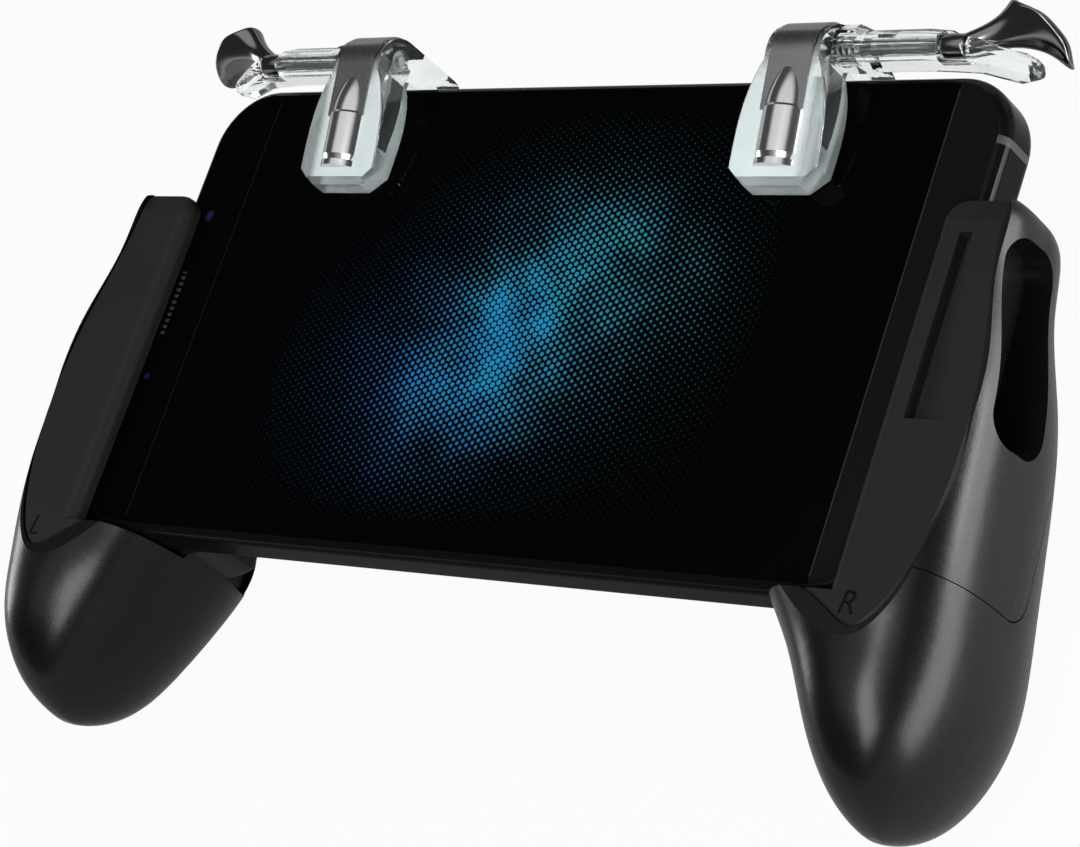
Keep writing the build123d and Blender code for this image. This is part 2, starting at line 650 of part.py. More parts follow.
def clip_front():
    """The clip seen from the front: the tab narrows from its toe to its neck."""
    start = TAB_TOE + CLIP_TOE
    length = CLIP_TOP - CLIP_NECK_LENGTH - start
    growth = (CLIP_WIDTH - CLIP_NECK_WIDTH) / 2
    edge = [(CLIP_NECK_WIDTH / 2 + across * growth, start + along * length)
            for along, across in TAB_EDGE_SHARES]
    toe = CLIP_TOE_WIDTH / 2
    neck = CLIP_NECK_WIDTH / 2
    right = Pos(CLIP_CENTRE_X, 0, 0) * Spline(*edge)
    left = Pos(CLIP_CENTRE_X, 0, 0) * Spline(*[(-x, y) for x, y in edge])
    low = Polyline(*[(CLIP_CENTRE_X + x, y) for x, y in (
        (-edge[0][0], start), (-toe, TAB_TOE), (toe, TAB_TOE), (edge[0][0], start))])
    high = Polyline(*[(CLIP_CENTRE_X + x, y) for x, y in (
        edge[-1], (neck, CLIP_TOP), (-neck, CLIP_TOP), (-neck, edge[-1][1]))])
    return make_face([*low.edges(), *right.edges(), *high.edges(), *left.edges()])


def clip_arm():
    """The clear arm that reaches outwards round the trigger shaft."""
    sections = []
    for row, share in enumerate(ARM_STATION_SHARES):
        size = ARM_SIZE_SHARES[row]
        y = ARM_CENTRE_Y - ARM_Y_SHARES[row] * ARM_HEIGHT
        z = SHAFT_Z - ARM_DROP - ARM_Z_SHARES[row] * ARM_DEPTH
        half_y = size * ARM_HEIGHT / 2
        half_z = size * ARM_DEPTH / 2
        bevel = size * ARM_BEVEL
        corners = [(half_y, half_z - bevel), (half_y - bevel, half_z),
                   (bevel - half_y, half_z), (-half_y, half_z - bevel),
                   (-half_y, bevel - half_z), (bevel - half_y, -half_z),
                   (half_y - bevel, -half_z), (half_y, bevel - half_z)]
        x = CLIP_CENTRE_X + ARM_INNER + share * ARM_LENGTH
        sections.append(Plane.YZ.offset(x) * make_face(
            Polyline(*[(y + dy, z + dz) for dy, dz in corners], close=True)))
    return loft(sections, ruled=True)


def make_clip():
    """The clear clip with its arm, the rocker's well and the shaft's bore."""
    body = extrude(clip_side(), amount=FAR) & prism(clip_front(), -FAR, FAR)
    back = body.edges().filter_by(Axis.X).group_by(Axis.Y)[-1].sort_by(Axis.Z)[0]
    body = fillet(back, CLIP_BACK_ARC)
    slope = Vector(0, -sin(radians(TAB_SLOPE)), cos(radians(TAB_SLOPE)))
    flats = body.faces().filter_by(GeomType.PLANE)
    face = flats.sort_by(lambda flat: flat.normal_at().dot(slope))[-1]
    body = fillet(face.edges().filter_by(GeomType.BSPLINE), TAB_EDGE_ROUND)
    body += clip_arm()
    low = CLIP_CENTRE_X - WELL_WIDTH / 2
    high = CLIP_CENTRE_X + WELL_WIDTH / 2
    body -= block(low, high, SHAFT_Y - WELL_LENGTH, SHAFT_Y, 0, WELL_ROOF)
    body -= rod_x(low, high, SHAFT_Y, SHAFT_Z, HUB_WELL_RADIUS)
    body -= rod_x(CLIP_CENTRE_X - SHAFT_INNER - ROCKER_GAP, CLIP_CENTRE_X + SHAFT_OUTER,
                  SHAFT_Y, SHAFT_Z, SHAFT_RADIUS + SHAFT_CLEARANCE)
    body -= rod_x(high, COIL_START + COIL_LENGTH + COIL_GAP, SHAFT_Y, SHAFT_Z,
                  COIL_OUTER + COIL_GAP)
    body -= paddle_room()
    return body - make_strip() - make_bullet()


def make_strip():
    """The metal strip that runs over the round top of the clip and down its back."""
    outer = clip_arc(CLIP_ARC + STRIP_PROUD)
    inner = clip_arc(CLIP_ARC - STRIP_SINK)
    front = Polyline(slope_point(0, STRIP_PROUD), slope_point(STRIP_START, STRIP_PROUD),
                     slope_point(STRIP_START, -STRIP_SINK), slope_point(0, -STRIP_SINK))
    back = Polyline((CLIP_TOP + STRIP_PROUD, ARC_Z), (CLIP_TOP + STRIP_PROUD, ARC_Z - STRIP_BACK),
                    (CLIP_TOP - STRIP_SINK, ARC_Z - STRIP_BACK), (CLIP_TOP - STRIP_SINK, ARC_Z))
    side = make_face([*outer.edges(), *front.edges(), *inner.edges(), *back.edges()])
    start = Plane.YZ.offset(CLIP_CENTRE_X - STRIP_WIDTH / 2)
    return extrude(start * side, amount=STRIP_WIDTH)


def make_bullet():
    """The half-sunk metal inlay in the shape of a cartridge, base down."""
    base_y = TAB_TOE + BULLET_FROM_TOE
    base_z = TAB_TOP + (base_y - TAB_TOE - TAB_TOE_BEVEL) * tan(radians(TAB_SLOPE))
    tilt = radians(TAB_SLOPE)
    depth = BULLET_RADIUS - BULLET_RISE
    axis = Plane((CLIP_CENTRE_X, base_y + depth * sin(tilt), base_z - depth * cos(tilt)),
                 x_dir=(0, cos(tilt), sin(tilt)), z_dir=(1, 0, 0))
    groove = BULLET_RADIUS - BULLET_GROOVE
    neck = BULLET_CASE
    outline = [(0, 0), (0, BULLET_RADIUS), (BULLET_RIM, BULLET_RADIUS), (BULLET_RIM, groove),
               (2 * BULLET_RIM, BULLET_RADIUS), (neck, BULLET_RADIUS),
               (neck + BULLET_GROOVE, NOSE_RADIUS_SHARES[0] * BULLET_RADIUS)]
    nose = [(neck + BULLET_GROOVE + along * (BULLET_NOSE - BULLET_GROOVE), share * BULLET_RADIUS)
            for along, share in zip(NOSE_LENGTH_SHARES, NOSE_RADIUS_SHARES)]
    case = Polyline(*outline)
    ogive = Spline(*nose)
    close = Polyline(nose[-1], (nose[-1][0], 0), (0, 0))
    half = axis * make_face([*case.edges(), *ogive.edges(), *close.edges()])
    bullet = revolve(half, Axis(axis.origin, axis.x_dir))
    top = axis * (Pos(0, depth - BULLET_SINK + FAR / 2, 0) * Box(FAR, FAR, FAR))
    return bullet & top


def make_pad():
    """The rubber pad between the jaw and the back of the phone."""
    half = CLIP_NECK_WIDTH / 2 - PAD_INSET
    return block(CLIP_CENTRE_X - half, CLIP_CENTRE_X + half,
                 CLIP_INNER_TOP - JAW_LENGTH + PAD_INSET, CLIP_INNER_TOP - PAD_INSET,
                 JAW_FRONT, JAW_FRONT + PAD_THICKNESS)


def make_shaft():
    """The steel shaft that carries the rocker and the paddle."""
    return rod_x(CLIP_CENTRE_X - SHAFT_INNER, CLIP_CENTRE_X + SHAFT_OUTER,
                 SHAFT_Y, SHAFT_Z, SHAFT_RADIUS)


def paddle_station(row):
    """The middle and the two directions of one section of the paddle."""
    axis = PADDLE_AXIS_SHARES[row]
    centre = Vector(CLIP_CENTRE_X + PADDLE_START + axis * PADDLE_LENGTH,
                    SHAFT_Y + PADDLE_RISE_SHARES[row] * PADDLE_RISE,
                    SHAFT_Z - axis * PADDLE_BACK)
    turn = PADDLE_TURN_SHARES[row]
    normal = (STEM_DIRECTION * (1 - turn) + MOUTH_DIRECTION * turn).normalized()
    across = (RIM_DIRECTION - normal * RIM_DIRECTION.dot(normal)).normalized()
    return centre, normal, across


def paddle_form(extra):
    """The flared stem of the paddle, made larger all round by an extra gap."""
    sections = []
    for row, share in enumerate(PADDLE_SIZE_SHARES):
        centre, normal, across = paddle_station(row)
        oval = Ellipse(share * PADDLE_WIDTH / 2 + extra, share * PADDLE_HEIGHT / 2 + extra)
        sections.append(Plane(centre, x_dir=across, z_dir=normal) * oval)
    stem = loft(sections)
    hub_start = CLIP_CENTRE_X + HUB_START - extra
    hub = rod_x(hub_start, hub_start + HUB_LENGTH + 2 * extra, SHAFT_Y, SHAFT_Z,
                HUB_RADIUS + extra)
    return stem + hub


def make_paddle():
    """The metal paddle on the outer end of the shaft, with its dished mouth."""
    centre, normal, across = paddle_station(-1)
    sections = []
    for row, share in enumerate(PADDLE_DISH_SHARES):
        depth = PADDLE_DISH * (1 - row / (len(PADDLE_DISH_SHARES) - 1))
        oval = Ellipse(share * (PADDLE_WIDTH / 2 - PADDLE_RIM),
                       share * (PADDLE_HEIGHT / 2 - PADDLE_RIM))
        place = Plane(centre - normal * depth, x_dir=across, z_dir=normal)
        sections.append(place * oval)
    return paddle_form(0) - loft(sections) - make_shaft()


def paddle_room():
    """The space that the paddle sweeps through in the arm of the clip."""
    axis = Axis((0, SHAFT_Y, SHAFT_Z), (1, 0, 0))
    return [paddle_form(PADDLE_GAP).rotate(axis, turn)
            for turn in (0, LEVER_TURN / 2, LEVER_TURN)]


def make_rocker():
    """The rocker that carries the contact foot over the glass."""
    half = ROCKER_WIDTH / 2
    hub = ROCKER_HUB_WIDTH / 2
    bar = block(CLIP_CENTRE_X - half, CLIP_CENTRE_X + half, SHAFT_Y - ROCKER_LENGTH, SHAFT_Y,
                ROCKER_UNDER, ROCKER_UNDER + ROCKER_THICKNESS)
    tip = bar.edges().filter_by(Axis.Z).sort_by(Axis.Y)[0:2]
    bar = fillet(tip, ROCKER_TIP_ROUND)
    bar += rod_x(CLIP_CENTRE_X - hub, CLIP_CENTRE_X + hub, SHAFT_Y, SHAFT_Z, ROCKER_HUB_RADIUS)
    return bar - make_shaft()


def make_foot():
    """The soft contact foot under the tip of the rocker."""
    y = SHAFT_Y - ROCKER_LENGTH + FOOT_RADIUS
    return rod_z(CLIP_CENTRE_X, y, ROCKER_UNDER - FOOT_HEIGHT, ROCKER_UNDER, FOOT_RADIUS)


def helix_point(turn):
    """A point of the coil's middle line and the direction of the wire there."""
    angle = 2 * pi * turn
    x = COIL_START + COIL_WIRE / 2 + COIL_PITCH * turn
    point = Vector(x, SHAFT_Y + COIL_RADIUS * cos(angle), SHAFT_Z + COIL_RADIUS * sin(angle))
    rate = 2 * pi * COIL_RADIUS
    tangent = Vector(COIL_PITCH, -rate * sin(angle), rate * cos(angle)).normalized()
    return point, tangent


def make_coil():
    """The torsion spring round the shaft, as one unbroken wire."""
    arcs = []
    quarters = 4 * COIL_TURNS
    for step in range(quarters):
        start, leave = helix_point(step / 4)
        end, arrive = helix_point((step + 1) / 4)
        gap = end - start
        both = leave + arrive
        square = both.dot(both) - 4
        along = gap.dot(both)
        reach = (along - sqrt(along ** 2 - square * gap.dot(gap))) / square
        joint = (start + leave * reach + end - arrive * reach) * 0.5
        arcs.append(Edge.make_tangent_arc(start, leave, joint))
        arcs.append(Edge.make_tangent_arc(end, arrive * -1, joint))
    start, leave = helix_point(0)
    section = Plane(start, z_dir=leave) * Circle(COIL_WIRE / 2)
    return sweep(section, path=Wire(arcs))


def coil_gap():
    """The least gap between the turns of the coil."""
    steps = range(COIL_TURNS * SECTION_STEPS)
    points = [helix_point(step / SECTION_STEPS)[0] for step in steps]
    apart = SECTION_STEPS * 3 // 4
    return min((points[b] - points[a]).length
               for a in steps for b in steps if b - a >= apart) - COIL_WIRE


# Whole object


def cut(shape, tools):
    """A piece with several others taken out of it."""
    for tool in tools:
        shape = shape - tool
    return shape


def trigger_pieces():
    """The pieces of the right-hand trigger under their names."""
    return {
        "trigger_body": make_clip(),
        "trigger_strip": make_strip() - make_bullet(),
        "trigger_bullet": make_bullet(),
        "trigger_pad": make_pad(),
        "trigger_spring": make_coil(),
        "trigger_shaft": make_shaft(),
        "trigger_paddle": make_paddle(),
        "trigger_rocker": make_rocker(),
        "trigger_foot": make_foot(),
    }


def grip_pieces():
    """The pieces of the right-hand grip that both grips have."""
    shell, cover = make_grip()
    screws = make_housing_screws()
    return {
        "shell": shell,
        "side_cover": cover,
        "housing": cut(make_housing(), screws),
        "slot_liner": make_liner(),
        "housing_screws": Compound(screws),
    }


def bridge_pieces():
    """The pieces of the bridge that belong to the left grip."""
    rods = make_rods()
    screws = make_bridge_screws()
    return {
        "bridge_sleeve": cut(make_sleeve(), rods + screws),
        "bridge_lid": cut(make_lid(), screws),
        "bridge_screws": Compound(screws),
        "guide_rods": Compound(rods),
        "tension_spring": make_tension_spring(),
    }


def phone_pieces():
    """The pieces of the phone."""
    x, y = power_key_x(), VOLUME_KEY_X
    return {
        "phone_frame": make_phone_frame(),
        "front_glass": make_front_glass(),
        "display_panel": display_shape(),
        "back_cover": make_back_cover(),
        "rear_camera": make_rear_lens(),
        "volume_key": key_shape(y, VOLUME_KEY_LENGTH, 0, KEY_SINK),
        "power_key": key_shape(x, POWER_KEY_LENGTH, 0, KEY_SINK),
    }


def all_pieces():
    """Every piece of the object under its name, about the middle of the glass."""
    pieces = {}
    for name, piece in (grip_pieces() | trigger_pieces()).items():
        pieces["right_" + name] = piece
        pieces["left_" + name] = mirrored(piece)
    pieces["right_plate"] = make_plate(True)
    pieces["left_plate"] = mirrored(make_plate(False))
    pieces["bridge_arm"] = make_arm()
    pieces["right_housing"] = pieces["right_housing"] - pieces["bridge_arm"]
    pieces["left_housing"] = pieces["left_housing"] - bridge_space()
    return pieces | bridge_pieces() | phone_pieces()


os.makedirs("parts", exist_ok=True)
place = Pos(0, GLASS_OFFSET_Y, GLASS_HEIGHT)
for name, piece in all_pieces().items():
    export_step(place * piece, "parts/" + name + ".step")
print("least gap between the turns of a trigger spring", round(coil_gap(), 2))
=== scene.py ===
import math

import bpy
from bpy.props import FloatProperty, FloatVectorProperty, PointerProperty
from mathutils import Matrix, Vector


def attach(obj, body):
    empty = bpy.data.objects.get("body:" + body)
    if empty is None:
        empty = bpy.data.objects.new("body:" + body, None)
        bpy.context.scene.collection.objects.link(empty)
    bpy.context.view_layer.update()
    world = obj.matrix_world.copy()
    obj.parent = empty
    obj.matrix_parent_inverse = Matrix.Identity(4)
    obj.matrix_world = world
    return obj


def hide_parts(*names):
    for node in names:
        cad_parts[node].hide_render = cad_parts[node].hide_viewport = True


bl_info = {
    "name": "Stretching Phone Grip",
    "version": (1, 0, 0),
    "blender": (4, 5, 0),
    "location": "View3D > Sidebar > Phone Grip",
    "description": "Finishes and small pieces of a phone grip with clip-on triggers",
    "category": "Object",
}

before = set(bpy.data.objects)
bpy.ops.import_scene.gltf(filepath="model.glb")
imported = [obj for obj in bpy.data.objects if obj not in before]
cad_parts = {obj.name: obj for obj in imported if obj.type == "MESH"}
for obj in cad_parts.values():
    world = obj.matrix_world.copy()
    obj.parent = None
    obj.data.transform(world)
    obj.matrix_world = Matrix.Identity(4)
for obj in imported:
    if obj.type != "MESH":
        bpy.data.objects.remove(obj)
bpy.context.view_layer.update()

# Middle of the phone's front glass in the frame, in metres. The numbers below are in
# millimetres about this point, unless a comment says otherwise. MM makes them metres.
GLASS_CENTRE = Vector((0.0, 0.0081, 0.03164))
MM = 0.001

# Bands across the phone's frame near its corners: their two edges in y, and where they start
BAND_EDGES = (27.2, 28.4)
BAND_START_X = 70.0

# The phone's front: ends of the display, small round windows and the slot of the earpiece
DISPLAY_RIGHT_X = 63.3
DISPLAY_LEFT_X = -61.0
DISPLAY_HALF_WIDTH = 35.3
FRONT_LENS = (-67.6, 15.3)
FRONT_SENSOR = (-67.7, -12.5)
EARPIECE_X = -68.0
EARPIECE_HALF_LENGTH = 5.4

# The lens of the phone's rear camera: its middle and radius
REAR_LENS = (-46.7, 27.25)
REAR_LENS_RADIUS = 2.4

# The dotted picture: the turn of its rows, their spacing in pitches, and its half sizes
DOT_TURN = math.radians(24)
ROW_SPACING = 0.866
PICTURE_HALF_LENGTH = 41.0
PICTURE_HALF_HEIGHT = 31.0

# The clip's front tab: it ends at this y and |x|, and is milky up to a smaller |x|
TAB_TOP_Y = 36.0
TAB_OUTER_X = 48.0
MILKY_OUTER_X = 44.6

# Rings of the right paddle: middle x, y, z and the two half widths
PADDLE_RINGS = [
    (61.7, 40.3, 2.6, 1.5, 1.3), (65.5, 42.1, 1.9, 1.9, 1.3), (69.2, 43.4, 1.1, 2.7, 1.7),
    (72.2, 44.0, 0.5, 4.4, 2.7), (74.2, 44.3, 0.15, 6.1, 3.5), (74.9, 44.6, 0.1, 6.4, 3.8),
    (74.95, 44.65, 0.1, 5.7, 3.1), (74.0, 43.9, 0.1, 4.6, 2.4), (72.8, 43.4, 0.4, 3.0, 1.6),
    (72.3, 43.1, 0.5, 1.4, 0.8)]

# The right paddle's mouth: its middle, the way that it opens and the way of its long side
MOUTH = (74.2, 43.8, 0.1)
MOUTH_OPENS = (0.69, 0.72, 0.04)
MOUTH_LENGTHWISE = (0.61, -0.54, -0.58)

# The curl of the mouth's long ends: how far out it starts, and how far it goes back
CURL_STEPS = ((2.2, 0.25), (3.4, 0.4), (4.4, 0.5), (5.2, 0.45))

# The right paddle's hub on its shaft: its middle, radius, length and rounded edge
HUB = (62.65, 40.3, 2.6)
HUB_RADIUS = 1.7
HUB_LENGTH = 3.4
HUB_EDGE = 0.3

# Side letters: the side, the letter and its middle in x, then for both the middle's y,
# the share of the font's size that a capital takes, and half of their depth
LETTERS = (("right", "R", 72.7), ("left", "L", -75.2))
LETTER_Y = -39.7
CAPITAL_SHARE = 0.7
LETTER_HALF_DEPTH = 0.04

# Screws at the back, about the frame's origin: x, y and the body that they sit in, and the
# height of their faces
SCREW_PLACES = [(-40.0, -15.7, "left_grip"), (-40.0, 7.9, "left_grip"),
                (24.6, -15.7, "left_grip"), (24.6, 7.9, "left_grip"),
                (56.25, 13.7, "right_grip"), (56.25, -22.9, "right_grip"),
                (-56.25, 13.7, "left_grip"), (-56.25, -22.9, "left_grip")]
SCREW_FACE = 12.54

# The dark cross that paints the shade of a screw's recess: width of its middle, length of each
# arm, narrowing and flattening
CROSS_WIDTH = 0.5
CROSS_ARM = 0.75
CROSS_TAPER = 0.7
CROSS_FLATNESS = 0.12

# Lamps, in metres: place, aim, size, the setting of their power and their share of it
STUDIO_MIDDLE = (0, 0, 0.03)
LAMPS = {
    "Key lamp": ((0.306, -0.423, 0.738), STUDIO_MIDDLE, (0.32, 0.86), "key_power", 1.0),
    "Right lamp": ((0.837, 0.252, 0.072), STUDIO_MIDDLE, (0.24, 0.22), "side_power", 1.0),
    "Left lamp": ((-0.864, -0.045, 0.144), STUDIO_MIDDLE, (0.2, 0.34), "side_power", 0.6),
    "Low lamp": ((0.150, -0.016, 0.004), (0.08, -0.03, 0.03), (0.17, 0.07), "low_power", 1.0)}

# Dark flags round the studio: the heights of a direction between which they are seen, and
# how softly they end. The floor lies just under the object, in metres.
FLAG_HEIGHTS = (0.12, 0.8)
FLAG_SOFTNESS = 0.12
FLOOR_HEIGHT = -0.0003

# The photograph's camera, in pixels and in metres about the middle of the glass
IMAGE_WIDTH_PX = 1080
FOCAL_PX = 3445.0
CAMERA_PLACE = Vector((0.3130, -0.1615, 0.3345))
CAMERA_RIGHT = Vector((0.7694, 0.3078, -0.5596))
CAMERA_DOWN = Vector((0.0461, -0.9007, -0.4320))
CAMERA_FORWARD = Vector((-0.6370, 0.3066, -0.7072))


# Shader maths


class Value:
    """A shader value. Used in a sum, it adds the Math nodes of that sum."""

    def __init__(self, tree, socket):
        self.tree = tree
        self.socket = socket

    def math(self, operation, *others, clamp=False):
        """A Math node's result for this value and others."""
        settings = {"operation": operation, "use_clamp": clamp}
        return self.tree.add("ShaderNodeMath", settings, dict(enumerate((self,) + others)))

    def __add__(self, other):
        return self.math("ADD", other)

    def __radd__(self, other):
        return self.math("ADD", other)

    def __sub__(self, other):
        return self.math("SUBTRACT", other)

    def __rsub__(self, other):
        return self.tree.add("ShaderNodeMath", {"operation": "SUBTRACT"}, {0: other, 1: self})

    def __mul__(self, other):
        return self.math("MULTIPLY", other)

    def __rmul__(self, other):
        return self.math("MULTIPLY", other)

    def __truediv__(self, other):
        return self.math("DIVIDE", other)

    def __pow__(self, other):
        return self.math("POWER", other)

    def size(self):
        """This value without its sign."""
        return self.math("ABSOLUTE")

    def clamped(self):
        """This value, held between 0 and 1."""
        return self.math("ADD", 0.0, clamp=True)

    def above(self, edge, soft):
        """1 where this value is over an edge and 0 under it, with a soft step between."""
        return ((self - edge) / soft + 0.5).clamped()

    def below(self, edge, soft):
        """1 where this value is under an edge and 0 over it, with a soft step between."""
        return 1 - self.above(edge, soft)

    def within(self, low, high, soft):
        """1 between two edges."""
        return self.above(low, soft) * self.below(high, soft)


class Tree:
    """Shader nodes of a material or of the world."""

    def __init__(self, owner, output):
        owner.use_nodes = True
        self.owner = owner
        self.nodes = owner.node_tree.nodes
        self.links = owner.node_tree.links
        self.nodes.clear()
        self.output = self.nodes.new(output)

    def add(self, kind, settings=None, inputs=None, output=0):
        """One node with its settings and its sockets' values or links, as its output."""
        node = self.nodes.new(kind)
        for key, value in (settings or {}).items():
            setattr(node, key, value)
        for key, value in (inputs or {}).items():
            if isinstance(value, Value):
                self.links.new(value.socket, node.inputs[key])
            else:
                node.inputs[key].default_value = value
        return Value(self, node.outputs[output])

    def close(self, shader):
        """Ends the tree with a shader and gives back what it belongs to."""
        self.links.new(shader.socket, self.output.inputs["Surface"])
        return self.owner

    def between(self, share, first, second):
        """Two shaders mixed, by the second's share."""
        return self.add("ShaderNodeMixShader", None, {0: share, 1: first, 2: second})

    def background_rays(self, mirrored):
        """1 for the rays that see the background itself or through glass, and a share for
        those that see it in a mirror."""
        camera = self.add("ShaderNodeLightPath", output="Is Camera Ray")
        glossy = self.add("ShaderNodeLightPath", output="Is Glossy Ray")
        through = self.add("ShaderNodeLightPath", output="Is Transmission Ray")
        return (camera + glossy * mirrored + through).math("MINIMUM", 1.0)

    def axes(self, vector):
        """The three parts of a vector."""
        return [self.add("ShaderNodeSeparateXYZ", None, {0: vector}, axis) for axis in "XYZ"]


class Finish(Tree):
    """A material that is built node by node."""

    def __init__(self, name):
        super().__init__(bpy.data.materials.new(name), "ShaderNodeOutputMaterial")

    def place(self):
        """The point's place in millimetres about the middle of the glass."""
        point = self.add("ShaderNodeTexCoord", output="Object")
        centred = self.add("ShaderNodeVectorMath", {"operation": "SUBTRACT"},
                           {0: point, 1: GLASS_CENTRE})
        scaled = self.add("ShaderNodeVectorMath", {"operation": "SCALE"},
                          {0: centred, "Scale": 1 / MM})
        return self.axes(scaled)

    def facing(self):
        """The direction that the surface faces."""
        return self.axes(self.add("ShaderNodeNewGeometry", output="Normal"))

    def point(self, stretch=(1, 1, 1)):
        """Object coordinates, stretched along the axes."""
        where = self.add("ShaderNodeTexCoord", output="Object")
        return self.add("ShaderNodeMapping", None, {"Vector": where, "Scale": stretch})

    def noise(self, size_mm, detail=3.0, roughness=0.5, stretch=(1, 1, 1)):
        """Soft noise whose patches are about a size across."""
        return self.add("ShaderNodeTexNoise", None,
                        {"Vector": self.point(stretch), "Scale": 1 / (size_mm * MM),
                         "Detail": detail, "Roughness": roughness}, "Fac")

    def colour(self, share, dark, light):
        """A colour between two others."""
        return self.add("ShaderNodeMix", {"data_type": "RGBA", "clamp_factor": True},
                        {0: share, 6: socket_colour(dark), 7: socket_colour(light)}, 2)

    def bump(self, height, depth_mm, strength):
        """A normal from a height between 0 and 1."""
        return self.add("ShaderNodeBump", None, {"Height": height, "Distance": depth_mm * MM,
                                                 "Strength": strength})

    def shader(self, **sockets):
        """The standard surface shader; underlines in the names stand for spaces."""
        return self.add("ShaderNodeBsdfPrincipled", None,
                        {name.replace("_", " "): socket_colour(value)
                         for name, value in sockets.items()})


def socket_colour(value):
    """A colour with its fourth part, where three numbers are given."""
    if isinstance(value, (Value, int, float)):
        return value
    return (*value, 1.0)


def grey(level):
    """A colour without hue."""
    return (level, level, level)


def times(shade, factor):
    """A colour made lighter or darker by a factor."""
    return [factor * part for part in shade]


def distance(x, y, middle):
    """How far a point is from another, seen from the front, in millimetres."""
    return ((x - middle[0]) ** 2.0 + (y - middle[1]) ** 2.0) ** 0.5


def dress(material, *names):
    """Gives a material to CAD nodes."""
    for name in names:
        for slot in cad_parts[name].material_slots:
            slot.material = material


def both(*names):
    """The left and right nodes of each name."""
    return [side + "_" + name for name in names for side in ("left", "right")]


# Mesh work


def pick(piece, kind, test):
    """Selects the vertices or faces of a piece that pass a test, in edit mode."""
    bpy.ops.object.mode_set(mode="EDIT")
    bpy.ops.mesh.select_mode(type=kind)
    bpy.ops.mesh.select_all(action="DESELECT")
    bpy.ops.object.mode_set(mode="OBJECT")
    for part in piece.data.polygons if kind == "FACE" else piece.data.vertices:
        part.select = test(part)
    bpy.ops.object.mode_set(mode="EDIT")


def smooth(piece, levels):
    """Rounds a piece with a Subdivision Surface and shades it smooth."""
    round_off = piece.modifiers.new("Round", "SUBSURF")
    round_off.levels = round_off.render_levels = levels
    bpy.ops.object.modifier_apply(modifier=round_off.name)
    bpy.ops.object.shade_smooth()


def settle(piece, name):
    """Puts a piece's place into its mesh, so that its object sits at the origin."""
    piece.name = piece.data.name = name
    bpy.ops.object.transform_apply(location=True, rotation=True, scale=True)


def turn_outwards(merge_mm=None):
    """Turns the active piece's faces outwards, after its doubles are merged where asked."""
    bpy.ops.object.mode_set(mode="EDIT")
    bpy.ops.mesh.select_all(action="SELECT")
    if merge_mm is not None:
        bpy.ops.mesh.remove_doubles(threshold=merge_mm * MM)
    bpy.ops.mesh.normals_make_consistent(inside=False)
    bpy.ops.object.mode_set(mode="OBJECT")


def mirror_copy(piece, name):
    """A copy of a piece on the other side, with its own mesh and its faces outwards."""
    bpy.ops.object.select_all(action="DESELECT")
    piece.select_set(True)
    bpy.context.view_layer.objects.active = piece
    bpy.ops.object.duplicate()
    copy = bpy.context.object
    copy.scale.x = -1
    settle(copy, name)
    turn_outwards()
    return copy


def put_on(piece, material, body):
    """Gives a new piece its material and the body that it moves with."""
    piece.data.materials.clear()
    piece.data.materials.append(material)
    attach(piece, body)


# Sizes and colours


class GripSettings(bpy.types.PropertyGroup):
    """Colours and grain of the grips."""

    handle_colour: FloatVectorProperty(
        name="Handle colour", description="Satin black of the handles and side covers",
        subtype="COLOR", size=3, min=0, max=1, default=(0.0020, 0.0020, 0.0021))
    handle_roughness: FloatProperty(
        name="Handle roughness", description="Roughness of the handles",
        subtype="FACTOR", min=0, max=1, default=0.28)
    plate_colour: FloatVectorProperty(
        name="Plate colour", description="Matt black of the front plates",
        subtype="COLOR", size=3, min=0, max=1, default=(0.0115, 0.0115, 0.0118))
    bridge_colour: FloatVectorProperty(
        name="Bridge colour", description="Matt black of the bridge and rear housings",
        subtype="COLOR", size=3, min=0, max=1, default=(0.006, 0.006, 0.0062))
    grain_mm: FloatProperty(
        name="Grain", description="Size of the moulded grain in millimetres",
        min=0.05, max=2, default=0.3)
    mark_height: FloatProperty(
        name="Mark height", description="Height of the side letters",
        subtype="DISTANCE", unit="LENGTH", min=0.001, max=0.01, default=0.0032)


class PhoneSettings(bpy.types.PropertyGroup):
    """Colours of the phone and its picture."""

    metal_colour: FloatVectorProperty(
        name="Frame colour", description="Black of the phone's frame",
        subtype="COLOR", size=3, min=0, max=1, default=(0.003, 0.003, 0.0033))
    band_colour: FloatVectorProperty(
        name="Band colour", description="Grey of the bands across the frame",
        subtype="COLOR", size=3, min=0, max=1, default=(0.045, 0.045, 0.047))
    blue: FloatVectorProperty(
        name="Blue dots", description="Blue end of the dotted picture",
        subtype="COLOR", size=3, min=0, max=1, default=(0.01, 0.20, 0.62))
    teal: FloatVectorProperty(
        name="Teal dots", description="Teal end of the dotted picture",
        subtype="COLOR", size=3, min=0, max=1, default=(0.02, 0.40, 0.50))
    dot_pitch_mm: FloatProperty(
        name="Dot spacing", description="Spacing of the dots in millimetres",
        min=0.3, max=4, default=1.05)
    glow: FloatProperty(
        name="Picture brightness", description="Strength of the lit dots",
        min=0, max=10, default=1.0)


